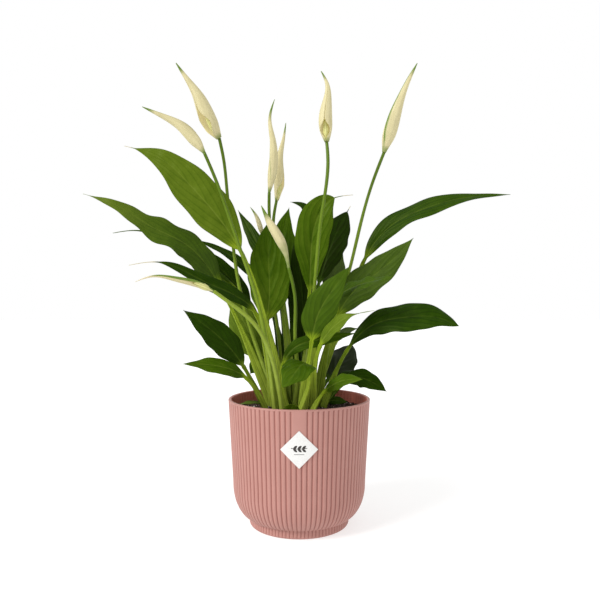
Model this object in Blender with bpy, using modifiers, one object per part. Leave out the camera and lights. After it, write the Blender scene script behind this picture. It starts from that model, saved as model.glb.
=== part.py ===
"""Potted peace lily, built at its real size.

Frame: metres, +Z up. The origin is on the ground, at the middle of the pot's foot, and -Y is the front,
where the label is. Every plant piece grows from the crown, a clump of root stock that is set in the soil.
Route points of leaves and flowers are in millimetres from the middle of the soil's surface.
"""

import collections
import math

import bmesh
import bpy
import numpy as np

MM = 0.001

# Pot: one moulded shell with a ribbed outside.
POT_HEIGHT = 123 * MM
POT_RIM_RADIUS = 70 * MM
POT_WALL = 2.2 * MM
POT_FLOOR = 3.0 * MM
POT_TAPER = 4.6 * MM  # how much the radius shrinks from the rim to the bowl
BOWL_HEIGHT = 45 * MM
FOOT_RADIUS = 47.5 * MM
FOOT_HEIGHT = 8.5 * MM
FOOT_NOTCH = 1.0 * MM
LIP_HEIGHT = 2.4 * MM
LIP_ROUND = 0.7 * MM
RIB_COUNT = 88
RIB_DEPTH = 0.9 * MM
PANEL_RIBS = 3  # ribs left out at the front, under the label
BOWL_ROWS = 4

# Label: a plain square standing on one corner, bent round the front of the pot.
LABEL_SIDE = 24 * MM
LABEL_THICKNESS = 0.3 * MM
LABEL_DROP = 35.5 * MM  # from the rim down to the middle of the label
LABEL_CELLS = 6

# Soil and crown.
SOIL_DROP = 11 * MM
SOIL_MOUND = 2.0 * MM
CROWN_X = -7 * MM
CROWN_Y = -2 * MM
CROWN_RADIUS = 36 * MM
CROWN_SINK = 6 * MM
CLEARANCE = 0.3 * MM

# Plant: heights of the route tables are for a plant of the table's height above the soil.
TABLE_HEIGHT = 345 * MM
PLANT_HEIGHT = 345 * MM
GROWTH = PLANT_HEIGHT / TABLE_HEIGHT
TABLE_RIM_RADIUS = 70 * MM
POT_SPREAD = POT_RIM_RADIUS / TABLE_RIM_RADIUS  # how far the plant's foot spreads, for a pot of another width
SPREAD_HEIGHT = 60 * MM  # table height by which a stem's place follows the plant instead of the pot
PETIOLE_RADIUS = 1.45 * MM
PETIOLE_FOOT_RADIUS = 1.9 * MM
SLENDER_HALF_WIDTH = 5  # mm: a narrower blade has a thinner petiole
BLADE_HALF_THICKNESS = 0.45 * MM
STALK_RADIUS = 1.5 * MM
STALK_FOOT_RADIUS = 2.0 * MM
SPATHE_THICKNESS = 0.8 * MM
SPADIX_RADIUS = 3.0 * MM
PETIOLE_SECTIONS = 5
BLADE_SECTIONS = 9
SECTION_CORNERS = 8
STALK_POINTS = 11
STALK_SIDES_LEVEL = 1  # bevel resolution: six sides

# Colours of each part: linear RGB, roughness.
PINK_PLASTIC = ((0.52, 0.22, 0.19), 0.55)
WHITE_PAPER = ((0.86, 0.86, 0.84), 0.6)
DARK_SOIL = ((0.022, 0.015, 0.011), 0.95)
ROOT_STOCK = ((0.12, 0.09, 0.04), 0.8)
LEAF_GREEN = ((0.045, 0.11, 0.018), 0.42)
STALK_GREEN = ((0.16, 0.27, 0.035), 0.5)
SPATHE_CREAM = ((0.76, 0.71, 0.45), 0.5)
SPADIX_CREAM = ((0.62, 0.6, 0.25), 0.7)

Leaf = collections.namedtuple("Leaf", "route half_width azimuth height fold collar", defaults=(1,))
Bud = collections.namedtuple("Bud", "route half_width half_depth")
Hood = collections.namedtuple("Hood", "route half_width azimuth spadix")

# Leaves. A route runs from the foot on the crown to the tip, and collar is the place in it, counted from 0,
# of the point where the blade starts.
# Half width is the blade's widest, in mm. Azimuth and height, in degrees, are the way its upper face looks:
# azimuth 0 is the front and +90 the right. Fold, in degrees, is how far each half is raised.
LEAVES = {
    "upper_left": Leaf(
        [(-20, -8, 0), (-58, -6, 155), (-82, -16, 191), (-105, -24, 217), (-131, -32, 240), (-163, -38, 250)],
        20, -10, 20, 10,
    ),
    "long_left": Leaf(
        [(-27, 1, 0), (-77, 2, 116), (-114, -4, 163), (-144, -14, 178), (-171, -24, 195), (-203, -34, 206)],
        14.5, 0, 30, 12,
    ),
    "left_behind": Leaf(
        [(-27, 18, 0), (-63, 24, 115), (-97, 22, 139), (-130, 16, 163), (-160, 8, 176), (-186, 2, 173)],
        8, 0, 45, 12,
    ),
    "left_narrow": Leaf([(-15, 28, 0), (-38, 46, 115), (-58, 50, 142), (-86, 52, 161), (-113, 54, 172)], 6, 0, 40, 12),
    "left_dark": Leaf([(-21, 24, 0), (-51, 31, 103), (-64, 33, 120), (-85, 33, 142), (-107, 32, 166)], 10, 0, 15, 12),
    "left_tailed": Leaf(
        [(-22, -16, 0), (-34, -20, 66), (-42, -25, 94), (-62, -38, 112), (-90, -50, 125), (-124, -60, 140),
         (-151, -66, 137)],
        8, 0, 30, 14, 2,
    ),
    "pale_inner": Leaf([(-23, 7, 0), (-38, 9, 47), (-48, 11, 68), (-58, 15, 86), (-71, 20, 106)], 16, 0, 5, 8),
    "low_left": Leaf([(-33, -14, 0), (-53, -30, 44), (-65, -38, 62), (-84, -46, 81), (-105, -54, 97)], 13, 0, 15, 12),
    "lowest_left": Leaf(
        [(-31, -22, 0), (-50, -38, 34), (-63, -48, 43), (-83, -56, 48), (-104, -62, 49)], 9.5, 0, 45, 14
    ),
    "dark_pocket": Leaf([(-30, 12, 0), (-31, 15, 34), (-40, 16, 40), (-50, 16, 31)], 6, 0, 20, 10),
    "over_soil_left": Leaf([(-30, -6, 0), (-37, -8, 5), (-45, -10, 9), (-54, -11, 9)], 4, 0, 70, 12),
    "centre_left": Leaf([(-12, 5, 0), (-32, 6, 86), (-30, 5, 110), (-31, 8, 144), (-32, 15, 185)], 17.5, 0, 5, 10),
    "centre_back": Leaf([(-2, 18, 0), (-10, 38, 106), (-14, 46, 147), (-17, 53, 176), (-11, 58, 207)], 11, 0, 0, 10),
    "centre_hidden": Leaf([(3, 24, 0), (4, 31, 106), (0, 35, 146), (-2, 40, 185)], 9, 0, 0, 10),
    "centre_folded": Leaf(
        [(4, -6, 0), (10, -14, 110), (11, -20, 143), (15, -25, 178), (26, -26, 199), (52, -16, 208)], 17, 0, 10, 24
    ),
    "centre_dark": Leaf([(8, 13, 0), (20, 30, 122), (27, 36, 146), (40, 48, 179), (56, 62, 209)], 12, 0, 10, 10),
    "centre_grey": Leaf([(6, 27, 0), (29, 46, 101), (37, 60, 128), (41, 78, 149), (47, 100, 176)], 10, 0, 10, 10),
    "back_curled": Leaf([(-3, 28, 0), (14, 57, 148), (14, 68, 189), (5, 74, 211), (-10, 70, 215)], 10, 0, 30, 12),
    "back_left": Leaf([(-9, 22, 0), (-30, 60, 134), (-46, 72, 167), (-59, 82, 190), (-70, 90, 209)], 8, 0, 0, 10),
    "long_right": Leaf(
        [(12, 5, 0), (44, 12, 90), (66, 9, 147), (87, 6, 177), (124, -4, 197), (162, -14, 206), (202, -24, 207)],
        12.5, 0, 40, 14, 2,
    ),
    "olive_right": Leaf(
        [(18, -1, 0), (38, 0, 90), (53, -4, 114), (76, -10, 133), (96, -16, 151), (110, -20, 166)], 17, 0, 30, 12
    ),
    "mid_right": Leaf([(8, -11, 0), (30, -24, 103), (43, -36, 115), (63, -50, 123), (84, -64, 127)], 8, 0, 45, 12),
    "front_light": Leaf([(3, -23, 0), (12, -38, 69), (17, -44, 92), (28, -50, 112), (46, -58, 137)], 11.5, 0, 20, 12),
    "yellow_right": Leaf([(13, -18, 0), (20, -43, 65), (28, -54, 79), (43, -64, 91), (66, -74, 97)], 8, 0, 40, 12),
    "across_centre": Leaf([(-11, -22, 0), (-15, -30, 46), (-6, -30, 60), (19, -30, 69), (54, -30, 75)], 7, 0, 20, 8),
    "front_drooping": Leaf([(0, -29, 0), (9, -48, 46), (4, -58, 49), (-3, -76, 44), (-14, -90, 32)], 13, 0, 60, 10),
    "low_right": Leaf(
        [(24, -5, 0), (47, -14, 58), (70, -20, 82), (100, -30, 90), (129, -38, 90), (148, -42, 82)], 14.5, 0, 35, 14
    ),
    "shaded_right": Leaf([(13, 17, 0), (30, 26, 24), (41, 42, 36), (52, 62, 46), (59, 80, 56)], 11, 0, 20, 10),
    "small_front_right": Leaf(
        [(12, -28, 0), (24, -38, 21), (35, -50, 31), (46, -60, 35), (56, -68, 36)], 6, 0, 40, 12
    ),
    "small_right_low": Leaf([(24, 3, 0), (46, 6, 23), (58, 8, 28), (71, 6, 25), (87, 0, 15)], 10, 0, 30, 14),
    "small_right_back": Leaf([(23, 10, 0), (35, 17, 23), (48, 23, 29), (62, 27, 30), (77, 31, 26)], 5, 0, 50, 12),
    "over_soil_right": Leaf([(18, 18, 0), (29, 23, 7), (39, 27, 8), (49, 28, 6)], 4, 0, 70, 12),
    "small_back": Leaf([(10, 22, 0), (39, 36, 62), (46, 47, 70), (55, 59, 74), (65, 67, 75)], 5, 0, 30, 12),
    "rim_front": Leaf([(-7, -30, 0), (-7, -35, 5), (-8, -42, 8), (-10, -50, 9)], 6, 0, 60, 12),
}

# Flower stalks, from the crown to the flower.
STALKS = {
    "upper_left": [(-19, 1, 0), (-61, 7, 123), (-68, 9, 171), (-73, 9, 217), (-76, 7, 247), (-80, 3, 268)],
    "far_left": [(-23, -26, 0), (-30, -31, 59), (-46, -27, 126), (-58, -23, 159), (-80, -26, 222), (-90, -30, 246)],
    "centre_tall": [(-10, 10, 0), (-15, 20, 75), (-24, 24, 146), (-31, 24, 194), (-31, 22, 217)],
    "centre_curved": [(-4, 11, 0), (-12, 28, 75), (-23, 34, 146), (-27, 36, 193), (-24, 36, 211)],
    "centre_right": [(0, -13, 0), (6, -22, 59), (13, -28, 106), (20, -35, 179), (27, -34, 238), (26, -30, 256)],
    "upper_right": [(17, 9, 0), (37, 17, 86), (52, 19, 139), (63, 18, 185), (74, 15, 224), (86, 12, 256)],
    "front_centre": [(-5, -15, 0), (-2, -20, 39), (-4, -22, 74), (-4, -23, 108), (-10, -24, 137)],
    "reclining": [(-16, -30, 0), (-29, -44, 63), (-42, -53, 86), (-55, -58, 98), (-76, -65, 114)],
    "small_back": [(-16, 14, 0), (-24, 34, 85), (-33, 31, 138), (-37, 28, 169)],
}

# Spathes that are still rolled shut, from the base to the tip.
BUDS = {
    "far_left": Bud([(-90, -30, 246), (-100, -31, 259), (-113, -33, 271), (-129, -36, 279), (-146, -40, 286)], 5.5, 4.5),
    "centre_tall": Bud([(-31, 22, 217), (-27, 21, 245), (-27, 19, 270), (-30, 17, 292), (-25, 15, 311)], 5.0, 4.0),
    "upper_right": Bud([(86, 12, 256), (90, 12, 271), (98, 11, 297), (107, 10, 321), (119, 8, 345)], 6.5, 5.0),
    "front_centre": Bud([(-10, -24, 137), (-13, -25, 151), (-19, -26, 165), (-28, -27, 180), (-36, -28, 196)], 5.0, 4.5),
    "small_back": Bud([(-37, 28, 169), (-41, 28, 183), (-45, 28, 194), (-51, 28, 203)], 3.0, 2.6),
}

# Open spathes: azimuth, in degrees, is the way the open side looks, and spadix is its spadix's length in mm.
HOODS = {
    "upper_left": Hood([(-80, 3, 268), (-90, 0, 285), (-99, -2, 307), (-111, -5, 325), (-121, -8, 339)], 7.5, 35, 24),
    "centre_curved": Hood([(-24, 36, 211), (-21, 36, 233), (-21, 35, 254), (-17, 34, 274), (-14, 33, 292)], 5.6, 20, 20),
    "centre_right": Hood([(26, -30, 256), (25, -29, 275), (27, -27, 297), (27, -26, 310), (21, -24, 325)], 6, 10, 22),
    "reclining": Hood([(-76, -65, 114), (-92, -69, 121), (-109, -73, 125), (-127, -76, 127), (-142, -79, 122)], 5, 0, 20),
}


def clear_scene():
    """Empties the scene, so that the script can be run again."""
    for item in list(bpy.data.objects):
        bpy.data.objects.remove(item, do_unlink=True)


def new_collection(name):
    collection = bpy.data.collections.new(name)
    bpy.context.scene.collection.children.link(collection)
    return collection


def new_material(name, colour, roughness):
    """A Principled material of one colour, with no metal in it."""
    material = bpy.data.materials.new(name)
    material.use_nodes = True
    shader = material.node_tree.nodes["Principled BSDF"]
    shader.inputs["Base Color"].default_value = (*colour, 1.0)
    shader.inputs["Roughness"].default_value = roughness
    shader.inputs["Metallic"].default_value = 0.0
    return material


def smooth_path(points, count):
    """Points spaced evenly along a smooth curve through the given points (a natural cubic spline)."""
    points = np.asarray(points, float)
    knots = np.concatenate([[0.0], np.cumsum(np.linalg.norm(np.diff(points, axis=0), axis=1))])
    steps = np.diff(knots)
    size = len(points)
    matrix = np.eye(size)
    right = np.zeros((size, 3))
    for row in range(1, size - 1):
        before, after = steps[row - 1], steps[row]
        matrix[row, row - 1 : row + 2] = before, 2 * (before + after), after
        slopes = (points[row + 1] - points[row]) / after - (points[row] - points[row - 1]) / before
        right[row] = 6 * slopes
    bend = np.linalg.solve(matrix, right)
    at = np.asarray(count, float) * knots[-1] if np.ndim(count) else np.linspace(0, knots[-1], count)
    span = np.clip(np.searchsorted(knots, at, side="right") - 1, 0, size - 2)
    ahead = (knots[span + 1] - at)[:, None]
    behind = (at - knots[span])[:, None]
    length = steps[span][:, None]
    curve = (bend[span] * ahead**3 + bend[span + 1] * behind**3) / (6 * length)
    curve += (points[span] / length - bend[span] * length / 6) * ahead
    curve += (points[span + 1] / length - bend[span + 1] * length / 6) * behind
    return curve


def directions(path):
    """Unit vectors along a path."""
    along = np.gradient(path, axis=0)
    return along / np.linalg.norm(along, axis=1, keepdims=True)


def facing(azimuth, height):
    """The unit vector of a way of looking: azimuth 0 is the front (-Y), +90 the right (+X)."""
    turn, lift = math.radians(azimuth), math.radians(height)
    return np.array([math.sin(turn) * math.cos(lift), -math.cos(turn) * math.cos(lift), math.sin(lift)])


def frames(path, face):
    """Side and face vectors along a path: the side is level with the path and square to the face."""
    along = directions(path)
    side = np.cross(along, face)
    side /= np.linalg.norm(side, axis=1, keepdims=True)
    return side, np.cross(side, along)


def loft(name, sections, material, collection):
    """A closed solid through rings of points, which all have as many points."""
    rings, corners = sections.shape[:2]
    mesh = bmesh.new()
    points = [[mesh.verts.new(tuple(corner)) for corner in ring] for ring in sections]
    for lower, upper in zip(points, points[1:]):
        for i in range(corners):
            j = (i + 1) % corners
            mesh.faces.new((lower[i], lower[j], upper[j], upper[i]))
    mesh.faces.new(points[0][::-1])
    mesh.faces.new(points[-1])
    bmesh.ops.recalc_face_normals(mesh, faces=mesh.faces)
    data = bpy.data.meshes.new(name)
    mesh.to_mesh(data)
    mesh.free()
    return finished(name, data, material, collection)


def finished(name, data, material, collection):
    """Puts a mesh or curve in the collection as an object with its material."""
    data.materials.append(material)
    if isinstance(data, bpy.types.Mesh):
        data.shade_smooth()
        data.set_sharp_from_angle(angle=math.radians(40))
    item = bpy.data.objects.new(name, data)
    collection.objects.link(item)
    return item


def turned(name, profile, steps, material, collection):
    """A solid turned about the Z axis from an outline of (radius, height) points, outer side top to bottom."""
    data = bpy.data.meshes.new(name)
    points = [(radius, 0.0, height) for radius, height in profile]
    data.from_pydata(points, [(i, i + 1) for i in range(len(points) - 1)], [])
    item = bpy.data.objects.new(name, data)
    collection.objects.link(item)
    screw = item.modifiers.new("turn", "SCREW")
    screw.steps = screw.render_steps = steps
    screw.use_merge_vertices = True
    screw.merge_threshold = 1e-5
    bpy.context.view_layer.update()
    graph = bpy.context.evaluated_depsgraph_get()
    solid = bpy.data.meshes.new_from_object(item.evaluated_get(graph))
    bpy.data.objects.remove(item)
    return finished(name, solid, material, collection)


def pot_radius(height):
    """Outer radius of the pot's rib crests at a height above the bowl's lower edge."""
    height = np.asarray(height, float)
    taper = POT_RIM_RADIUS - POT_TAPER * (POT_HEIGHT - height) / (POT_HEIGHT - BOWL_HEIGHT)
    neck = FOOT_RADIUS + FOOT_NOTCH
    drop = np.clip((BOWL_HEIGHT - height) / (BOWL_HEIGHT - FOOT_HEIGHT), 0.0, 1.0)
    bowl = neck + (POT_RIM_RADIUS - POT_TAPER - neck) * (1 - drop**2.4) ** 0.62
    return np.where(height >= BOWL_HEIGHT, taper, bowl)


def pot_profile():
    """The closed outline of the pot's wall: down the outside, across the foot, and up the inside."""
    bowl = [BOWL_HEIGHT - (BOWL_HEIGHT - FOOT_HEIGHT) * (i / BOWL_ROWS) ** 0.6 for i in range(1, BOWL_ROWS + 1)]
    walls = [POT_HEIGHT - LIP_HEIGHT, BOWL_HEIGHT, *bowl]
    inner = [POT_HEIGHT - LIP_HEIGHT, BOWL_HEIGHT, bowl[1]]
    inside = [(float(pot_radius(z)) - RIB_DEPTH - POT_WALL, z + POT_WALL) for z in reversed(inner[1:])]
    rim_inside = POT_RIM_RADIUS - RIB_DEPTH - POT_WALL
    floor = FOOT_HEIGHT + POT_FLOOR
    outline = [(rim_inside, POT_HEIGHT - LIP_ROUND), (rim_inside + LIP_ROUND, POT_HEIGHT)]
    outline += [(POT_RIM_RADIUS - LIP_ROUND, POT_HEIGHT), (POT_RIM_RADIUS, POT_HEIGHT - LIP_ROUND)]
    outline += [(float(pot_radius(z)), z) for z in walls]
    outline += [(FOOT_RADIUS, FOOT_HEIGHT - FOOT_NOTCH), (FOOT_RADIUS - FOOT_NOTCH, 0.0), (0.0, 0.0)]
    bottom = [(0.0, floor), (FOOT_RADIUS - POT_WALL, floor)]
    return outline, bottom + inside + [(rim_inside, POT_HEIGHT - LIP_ROUND)]


def rib_share(angle):
    """1 on a groove between ribs and 0 on a crest; the ribs beside the middle of the front are left out."""
    from_front = (angle + math.pi / 2 + math.pi) % (2 * math.pi) - math.pi
    on_panel = np.abs(from_front) < (PANEL_RIBS + 0.4) * math.pi / RIB_COUNT
    groove = 0.5 + 0.5 * np.cos(RIB_COUNT * from_front + math.pi * (PANEL_RIBS % 2 == 0))
    return np.where(on_panel, 0.0, groove)


def build_pot(collection):
    """The turned pot, whose outer wall is pushed in along the grooves between its ribs."""
    outer, inner = pot_profile()
    pot = turned("pot", outer + inner, 2 * RIB_COUNT, new_material("pink_plastic", *PINK_PLASTIC), collection)
    count = len(pot.data.vertices)
    points = np.empty(count * 3)
    pot.data.vertices.foreach_get("co", points)
    points = points.reshape(-1, 3)
    radius = np.hypot(points[:, 0], points[:, 1])
    height = points[:, 2]
    ribbed = np.abs(radius - pot_radius(height)) < 1e-6
    ribbed &= (height > FOOT_HEIGHT - 1e-6) & (height < POT_HEIGHT - LIP_HEIGHT + 1e-6)
    depth = RIB_DEPTH * rib_share(np.arctan2(points[:, 1], points[:, 0])) * ribbed
    points[:, :2] *= (1 - depth / np.maximum(radius, 1e-9))[:, None]
    pot.data.vertices.foreach_set("co", points.ravel())
    pot.data.update()
    return pot


def build_label(collection):
    """A square sheet standing on one corner, bent round the pot just outside the rib crests."""
    sheet = bmesh.new()
    bmesh.ops.create_grid(sheet, x_segments=LABEL_CELLS, y_segments=LABEL_CELLS, size=LABEL_SIDE / 2)
    middle = POT_HEIGHT - LABEL_DROP
    half = math.sqrt(0.5)
    for corner in sheet.verts:
        across = half * (corner.co.x - corner.co.y)
        height = middle + half * (corner.co.x + corner.co.y)
        radius = float(pot_radius(height)) + CLEARANCE
        angle = across / radius
        corner.co = (radius * math.sin(angle), -radius * math.cos(angle), height)
    bmesh.ops.recalc_face_normals(sheet, faces=sheet.faces)
    sheet.faces.ensure_lookup_table()
    if sheet.faces[0].normal.y > 0:
        bmesh.ops.reverse_faces(sheet, faces=sheet.faces)
    data = bpy.data.meshes.new("label")
    sheet.to_mesh(data)
    sheet.free()
    label = finished("label", data, new_material("white_paper", *WHITE_PAPER), collection)
    wall = label.modifiers.new("thickness", "SOLIDIFY")
    wall.thickness = LABEL_THICKNESS
    wall.offset = 1.0
    return label


def soil_top():
    return POT_HEIGHT - SOIL_DROP


def build_soil(collection, cutters):
    """Soil that fills the pot to below its rim, with a pit for the crown."""
    _, inside = pot_profile()
    edge = POT_RIM_RADIUS - RIB_DEPTH - POT_WALL - CLEARANCE
    share = (POT_HEIGHT - soil_top()) / (POT_HEIGHT - BOWL_HEIGHT)
    edge -= POT_TAPER * share
    profile = [(0.0, soil_top() + SOIL_MOUND), (0.6 * edge, soil_top() + SOIL_MOUND), (edge, soil_top())]
    below = [(radius - CLEARANCE, height) for radius, height in reversed(inside[2:-1])]
    floor = inside[0][1] + CLEARANCE
    profile += below + [(inside[1][0] - CLEARANCE, floor), (0.0, floor)]
    soil = turned("potting_soil", profile, 48, new_material("dark_soil", *DARK_SOIL), collection)
    pit_radius = CROWN_RADIUS * POT_SPREAD + CLEARANCE
    bpy.ops.mesh.primitive_cylinder_add(vertices=40, radius=pit_radius, depth=4 * CROWN_SINK)
    pit = bpy.context.object
    pit.name = "crown_pit"
    pit.location = (CROWN_X * POT_SPREAD, CROWN_Y * POT_SPREAD, soil_top() + SOIL_MOUND + CROWN_SINK)
    pit.hide_render = True
    pit.display_type = "WIRE"
    for owner in list(pit.users_collection):
        owner.objects.unlink(pit)
    cutters.objects.link(pit)
    cut = soil.modifiers.new("crown_pit", "BOOLEAN")
    cut.operation = "DIFFERENCE"
    cut.object = pit
    return soil


def crown_top():
    return soil_top() + SOIL_MOUND - 2 * CLEARANCE


def build_crown(collection):
    """The root stock: a low round clump, flat on top, whose edge is rounded."""
    bottom = soil_top() + SOIL_MOUND - CROWN_SINK + CLEARANCE
    radius = CROWN_RADIUS * POT_SPREAD
    profile = [(0.0, crown_top()), (radius - 1.5 * MM, crown_top())]
    profile += [(radius, crown_top() - 1.5 * MM), (radius, bottom), (0.0, bottom)]
    crown = turned("root_crown", profile, 32, new_material("root_stock", *ROOT_STOCK), collection)
    crown.location = (CROWN_X * POT_SPREAD, CROWN_Y * POT_SPREAD, 0.0)
    return crown


def sideways(height, above):
    """A sideways scale at heights in a route: the pot's at the soil, turning into the one given for above."""
    share = np.clip(height / SPREAD_HEIGHT, 0.0, 1.0)
    return POT_SPREAD + (above - POT_SPREAD) * share


def placed(route):
    """A route in metres in the object's frame, with its first point just above the crown."""
    points = np.array(route, float) * MM
    points[:, :2] *= sideways(points[:, 2], GROWTH)[:, None]
    points[:, 2] = points[:, 2] * GROWTH + crown_top() + CLEARANCE
    return points


def stem_scale(path):
    """How much thinner stems stand at each point of a path where the pot crowds them."""
    return sideways((path[:, 2] - crown_top() - CLEARANCE) / GROWTH, 1.0)


def standing(path, radius):
    """The path with its foot raised, so that a leaning stem of this radius only just clears the crown."""
    start = path[1] - path[0]
    lean = math.hypot(start[0], start[1]) / np.linalg.norm(start)
    lifted = path.copy()
    lifted[0, 2] += radius * lean
    return lifted


def outline_share(share):
    """Share of a blade's half width along its length, from 0 to 1: widest before the middle, then drawn out."""
    share = np.clip(share, 0.0, 1.0)
    rise, fall = 0.85, 1.1
    widest = rise / (rise + fall)
    return (share / widest) ** rise * ((1 - share) / (1 - widest)) ** fall


def build_leaf(name, leaf, material, collection):
    """A leaf and its petiole: ellipses from the round petiole to the thin, wide, folded blade."""
    points = placed(leaf.route)
    lengths = np.cumsum(np.linalg.norm(np.diff(points, axis=0), axis=1))
    collar = lengths[leaf.collar - 1] / lengths[-1]
    petiole = np.linspace(0, collar, PETIOLE_SECTIONS, endpoint=False)
    blade = np.linspace(0, 1, BLADE_SECTIONS) ** 1.1
    at = np.concatenate([petiole, collar + (1 - collar) * blade])
    fine = smooth_path(points, 4 * len(at) + 1)
    path = smooth_path(points, at)
    side_fine, face_fine = frames(fine, facing(leaf.azimuth, leaf.height))
    grid = np.linspace(0, 1, len(fine))
    side = np.stack([np.interp(at, grid, side_fine[:, k]) for k in range(3)], axis=1)
    face = np.stack([np.interp(at, grid, face_fine[:, k]) for k in range(3)], axis=1)
    along = np.clip((at - collar) / (1 - collar), 0, 1)
    stem = PETIOLE_RADIUS + (PETIOLE_FOOT_RADIUS - PETIOLE_RADIUS) * np.clip(1 - at / collar, 0, 1)
    stem = np.minimum(stem, PETIOLE_RADIUS * leaf.half_width / SLENDER_HALF_WIDTH) * stem_scale(path)
    path = standing(path, stem[0])
    flat = np.clip(along / 0.25, 0, 1)
    flat = flat * flat * (3 - 2 * flat)
    width = np.maximum(stem * (1 - 0.8 * along), leaf.half_width * MM * GROWTH * outline_share(along))
    thick = stem * (1 - flat) + BLADE_HALF_THICKNESS * flat
    corner = np.arange(SECTION_CORNERS) * 2 * math.pi / SECTION_CORNERS
    across = width[:, None] * np.cos(corner)
    raised_halves = (np.abs(across) - 0.5 * width[:, None]) * math.tan(math.radians(leaf.fold))
    lift = thick[:, None] * np.sin(corner) + raised_halves * flat[:, None]
    sections = path[:, None] + side[:, None] * across[..., None] + face[:, None] * lift[..., None]
    return loft(name, sections, material, collection)


def build_stalk(name, route, material, collection):
    """A flower stalk: a tapering tube along a smooth curve, with flat ends."""
    path = smooth_path(placed(route), STALK_POINTS)
    taper = np.linspace(STALK_FOOT_RADIUS / STALK_RADIUS, 1.0, len(path)) * stem_scale(path)
    path = standing(path, STALK_RADIUS * taper[0])
    curve = bpy.data.curves.new(name, "CURVE")
    curve.dimensions = "3D"
    spline = curve.splines.new("POLY")
    spline.points.add(len(path) - 1)
    spline.points.foreach_set("co", np.column_stack([path, np.ones(len(path))]).ravel())
    spline.points.foreach_set("radius", taper)
    curve.bevel_depth = STALK_RADIUS
    curve.bevel_resolution = STALK_SIDES_LEVEL
    curve.use_fill_caps = True
    return finished(name, curve, material, collection)


def raised(path, gap):
    """The path with its start moved forward along itself by a gap."""
    start = path[1] - path[0]
    shift = start / np.linalg.norm(start) * gap
    fade = np.linspace(1.0, 0.0, len(path))[:, None]
    return path + shift * fade


def build_bud(name, bud, material, collection):
    """A spathe still rolled shut: a swollen body that is drawn out to a long point."""
    share = np.array([0.0, 0.06, 0.16, 0.3, 0.45, 0.6, 0.75, 0.88, 1.0])
    path = raised(smooth_path(placed(bud.route), share), CLEARANCE)
    side, face = frames(path, facing(0, 0))
    swell = np.array([0.3, 0.55, 0.88, 1.0, 0.86, 0.6, 0.36, 0.2, 0.07])
    corner = np.arange(SECTION_CORNERS) * 2 * math.pi / SECTION_CORNERS
    across = (bud.half_width * MM * GROWTH * swell)[:, None] * np.cos(corner)
    deep = (bud.half_depth * MM * GROWTH * swell)[:, None] * np.sin(corner)
    sections = path[:, None] + side[:, None] * across[..., None] + face[:, None] * deep[..., None]
    return loft(name, sections, material, collection)


def build_hood(name, hood, material, collection):
    """An open spathe: a thin hood bent round the spadix, open on one side, drawn out to a long point."""
    share = np.array([0.0, 0.07, 0.17, 0.3, 0.45, 0.6, 0.75, 0.88, 1.0])
    path = raised(smooth_path(placed(hood.route), share), CLEARANCE)
    side, face = frames(path, facing(hood.azimuth, 0))
    swell = np.array([0.42, 0.68, 0.92, 1.0, 0.86, 0.6, 0.36, 0.2, 0.1])
    outer = hood.half_width * MM * GROWTH * swell
    wall = np.minimum(SPATHE_THICKNESS, 0.35 * outer)
    half = SECTION_CORNERS // 2 + 1
    reach = math.radians(112)
    angle = np.linspace(-reach, reach, half)
    turns = np.concatenate([angle, angle[::-1]])
    inside = np.concatenate([np.zeros(half), np.ones(half)])
    radius = outer[:, None] - wall[:, None] * inside
    across = radius * np.sin(turns)
    deep = -radius * np.cos(turns)
    sections = path[:, None] + side[:, None] * across[..., None] + face[:, None] * deep[..., None]
    return loft(name, sections, material, collection)


def build_spadix(name, hood, material, collection):
    """A spadix: a blunt spike that starts thin, just above the stalk, in line with the spathe."""
    points = placed(hood.route)
    whole = np.sum(np.linalg.norm(np.diff(points, axis=0), axis=1))
    reach = min(hood.spadix * MM * GROWTH / whole, 1.0)
    share = np.array([0.0, 0.12, 0.3, 0.55, 0.8, 0.94, 1.0]) * reach
    path = raised(smooth_path(points, share), 2 * CLEARANCE)
    curve = bpy.data.curves.new(name, "CURVE")
    curve.dimensions = "3D"
    spline = curve.splines.new("POLY")
    spline.points.add(len(path) - 1)
    spline.points.foreach_set("co", np.column_stack([path, np.ones(len(path))]).ravel())
    spline.points.foreach_set("radius", np.array([0.38, 0.5, 0.85, 1.0, 0.92, 0.7, 0.35]))
    curve.bevel_depth = SPADIX_RADIUS * GROWTH
    curve.bevel_resolution = STALK_SIDES_LEVEL
    curve.use_fill_caps = True
    return finished(name, curve, material, collection)


def main():
    clear_scene()
    collection = new_collection("potted_peace_lily")
    cutters = new_collection("cutters")
    build_pot(collection)
    build_label(collection)
    build_soil(collection, cutters)
    build_crown(collection)
    green = new_material("leaf_green", *LEAF_GREEN)
    for name, leaf in LEAVES.items():
        build_leaf(f"leaf_{name}", leaf, green, collection)
    stalk = new_material("stalk_green", *STALK_GREEN)
    for name, route in STALKS.items():
        build_stalk(f"stalk_{name}", route, stalk, collection)
    cream = new_material("spathe_cream", *SPATHE_CREAM)
    for name, bud in BUDS.items():
        build_bud(f"spathe_{name}", bud, cream, collection)
    yellow = new_material("spadix_cream", *SPADIX_CREAM)
    for name, hood in HOODS.items():
        build_hood(f"spathe_{name}", hood, cream, collection)
        build_spadix(f"spadix_{name}", hood, yellow, collection)


main()
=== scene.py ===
"""Looks of a potted peace lily: ribbed pot, label, soil, leaves and flowers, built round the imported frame.

Metres, +Z up, -Y the front. Routes of leaves and flowers are in millimetres from the middle of the soil.
"""

import logging
import math
from collections.abc import Callable, Sequence
from dataclasses import dataclass
from enum import Enum

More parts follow.
